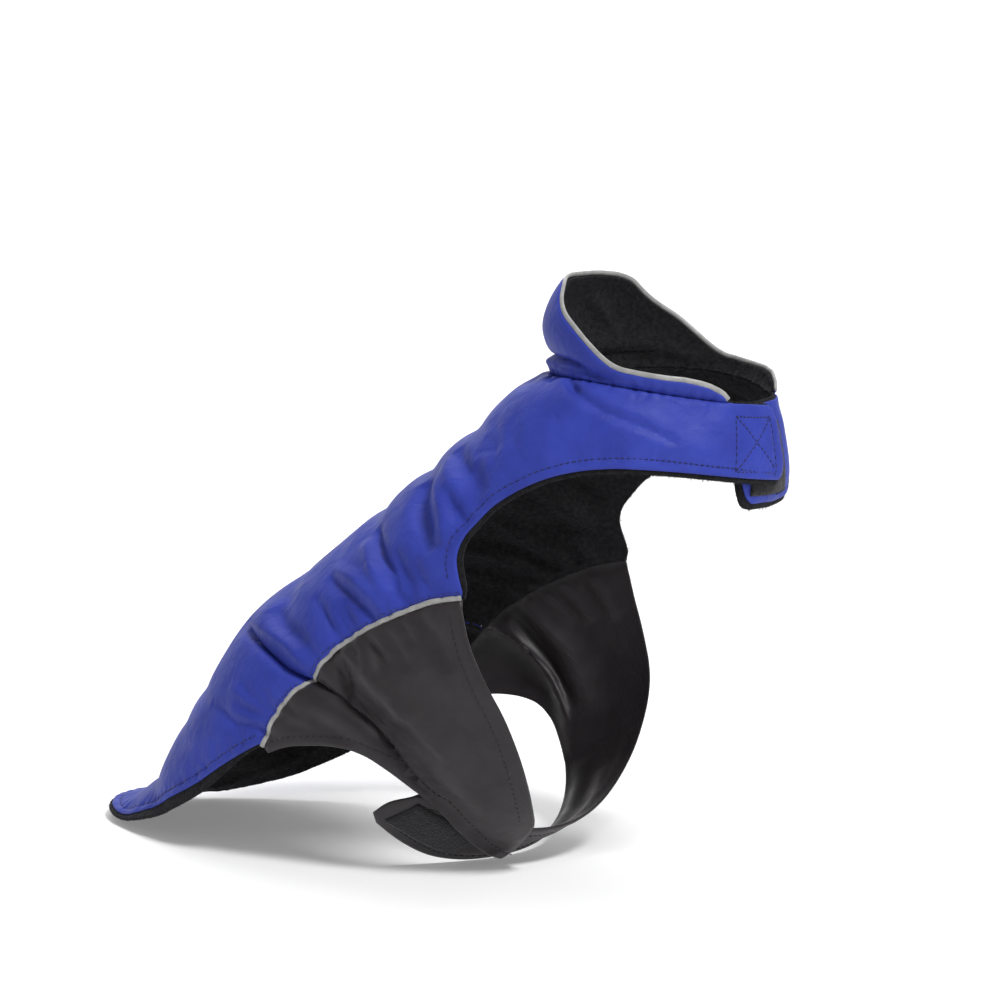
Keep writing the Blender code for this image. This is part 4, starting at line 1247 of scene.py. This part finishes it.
def make_vest():
    """All cloths, with their sewing, each in place of its solid."""
    rim = back_rim()
    shell = in_place_of("back_shell", make_shell("back_cloth", rim, SHELL_FLOOR, "blue_nylon"))
    let_out = fleece_rim(rim)
    lining = in_place_of("back_lining", make_fleece("back_fleece", let_out))
    pile = make_pile("fleece_pile", let_out)

    top = trace(mirrored(COLLAR_TOP)[:-1] + COLLAR_TOP, RIM_PITCH)
    edge = collar_rim(top)
    collar = in_place_of("collar_shell", make_shell("collar_cloth", edge, SHELL_FLOOR, "blue_nylon"))
    collar_fleece = in_place_of("collar_lining", make_fleece("collar_fleece", edge))
    collar_pipe = in_place_of("collar_piping", make_piping("collar_pipe", top, COLLAR_PIPING_HEIGHT))

    pipes = [
        in_place_of(f"side_piping_{side}",
                    make_piping(f"side_pipe_{side}", trace(seam, RIM_PITCH), SEAM_PIPING_HEIGHT))
        for side, seam in (("right", SIDE_SEAM), ("left", LEFT_SIDE_SEAM))
    ]

    right_seam = beside(trace(SIDE_SEAM, RIM_PITCH), -FROM_SIDE_SEAM)[::-1]
    right_rim = panel_rim(right_seam, BELLY_FRONT, BELLY_END, BELLY_REAR)
    right = in_place_of("belly_panel_right",
                        make_shell("belly_cloth_right", right_rim, PANEL_FLOOR, "black_nylon"))
    left_seam = beside(trace(LEFT_SIDE_SEAM, RIM_PITCH), -FROM_SIDE_SEAM)
    left_rim = panel_rim(left_seam, LEFT_BELLY_FRONT, LEFT_BELLY_END, LEFT_BELLY_REAR)
    left = in_place_of("belly_panel_left",
                       make_shell("belly_cloth_left", left_rim, PANEL_FLOOR, "black_nylon"))

    tapes = {
        name: in_place_of(f"{name}_patch", make_wall(
            f"{name}_tape", patch_rim(patch), PATCH_PITCH, floor, floor + PATCH_WALL, material, TAPE_TEXTURE))
        for name, patch, floor, material in TAPES
    }

    for name, material, lines in sewn_lines():
        make_stitches(name, material, lines)


make_vest()

# ---- floor, light and camera, in metres ----
FLOOR_GAP = 0.001           # the floor lies this far under the vest
FLOOR_NEAR = -4.0           # along the camera's way, from the origin
BEND_START = 2.2            # where the floor starts to curve up
BEND_RADIUS = 1.0
BEND_STEPS = 12
BACKDROP_HEIGHT = 4.0
FLOOR_HALF_WIDTH = 6.0
AWAY = np.array([-0.5, 0.866])      # the camera's way over the floor, and across it
ACROSS = np.array([0.866, 0.5])

CAMERA_PLACE = (0.91466, -1.56856, 0.17270)
CAMERA_TARGET = (0.02044, -0.01973, -0.03107)
LENS = 124.61
SENSOR = 36.0

VEST_MIDDLE = (0.0, 0.0, -0.1)
Light = namedtuple("Light", "name place target size power")
LIGHTS = table(
    Light,
    ("key", (1.35, -0.75, 1.9), VEST_MIDDLE, 0.6, 54),
    ("fill", (-0.9, -1.6, 0.6), VEST_MIDDLE, 1.2, 2),
    ("back", (-1.3, 0.9, 1.3), VEST_MIDDLE, 1.2, 1),
    ("wall", (-0.6, 1.0, 2.4), (-1.7, 2.9, 0.6), 2.0, 65),
)
WORLD_STRENGTH = 0.2


def make_floor():
    """A pale floor that curves up into a backdrop, away from the camera."""
    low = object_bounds()[0].z - FLOOR_GAP
    turns = np.pi / 2 * np.arange(1, BEND_STEPS + 1) / BEND_STEPS
    profile = [(FLOOR_NEAR, low), (BEND_START, low)]
    profile += [(BEND_START + BEND_RADIUS * np.sin(turn), low + BEND_RADIUS * (1 - np.cos(turn)))
                for turn in turns]
    profile.append((BEND_START + BEND_RADIUS, low + BACKDROP_HEIGHT))
    points = [
        (*(AWAY * reach + ACROSS * side), height)
        for reach, height in profile for side in (-FLOOR_HALF_WIDTH, FLOOR_HALF_WIDTH)
    ]
    faces = [(2 * i, 2 * i + 1, 2 * i + 3, 2 * i + 2) for i in range(len(profile) - 1)]
    mesh = bpy.data.meshes.new("floor")
    mesh.from_pydata(points, [], faces)
    mesh.shade_smooth()
    paper = Nodes("paper", (0.86, 0.86, 0.865), 0.9, Emission_Color=(1, 1, 1, 1), Emission_Strength=0.2)
    paper.add_bump(paper.noise(60, 2), 0.02, 0.0005)
    mesh.materials.append(paper.material)
    floor = bpy.data.objects.new("floor", mesh)
    bpy.context.scene.collection.objects.link(floor)


def aimed(name, data, place, target):
    """A light or camera that looks from its place at a target."""
    thing = bpy.data.objects.new(name, data)
    thing.location = place
    thing.rotation_euler = (Vector(target) - Vector(place)).to_track_quat("-Z", "Y").to_euler()
    bpy.context.scene.collection.objects.link(thing)
    return thing


def make_light(light):
    """A soft square light."""
    data = bpy.data.lights.new(light.name, "AREA")
    data.size = light.size
    data.energy = light.power
    aimed(light.name, data, light.place, light.target)


def make_camera():
    """A camera at the photograph's angle and distance."""
    data = bpy.data.cameras.new("camera")
    data.lens = LENS
    data.sensor_width = SENSOR
    bpy.context.scene.camera = aimed("camera", data, CAMERA_PLACE, CAMERA_TARGET)


def make_world():
    """An even, dim white surrounding."""
    world = bpy.data.worlds.new("studio")
    bpy.context.scene.world = world
    world.use_nodes = True
    background = world.node_tree.nodes["Background"].inputs
    background["Color"].default_value = (1, 1, 1, 1)
    background["Strength"].default_value = WORLD_STRENGTH


make_floor()
for light in LIGHTS:
    make_light(light)
make_camera()
make_world()
bpy.context.scene.view_settings.view_transform = "Standard"
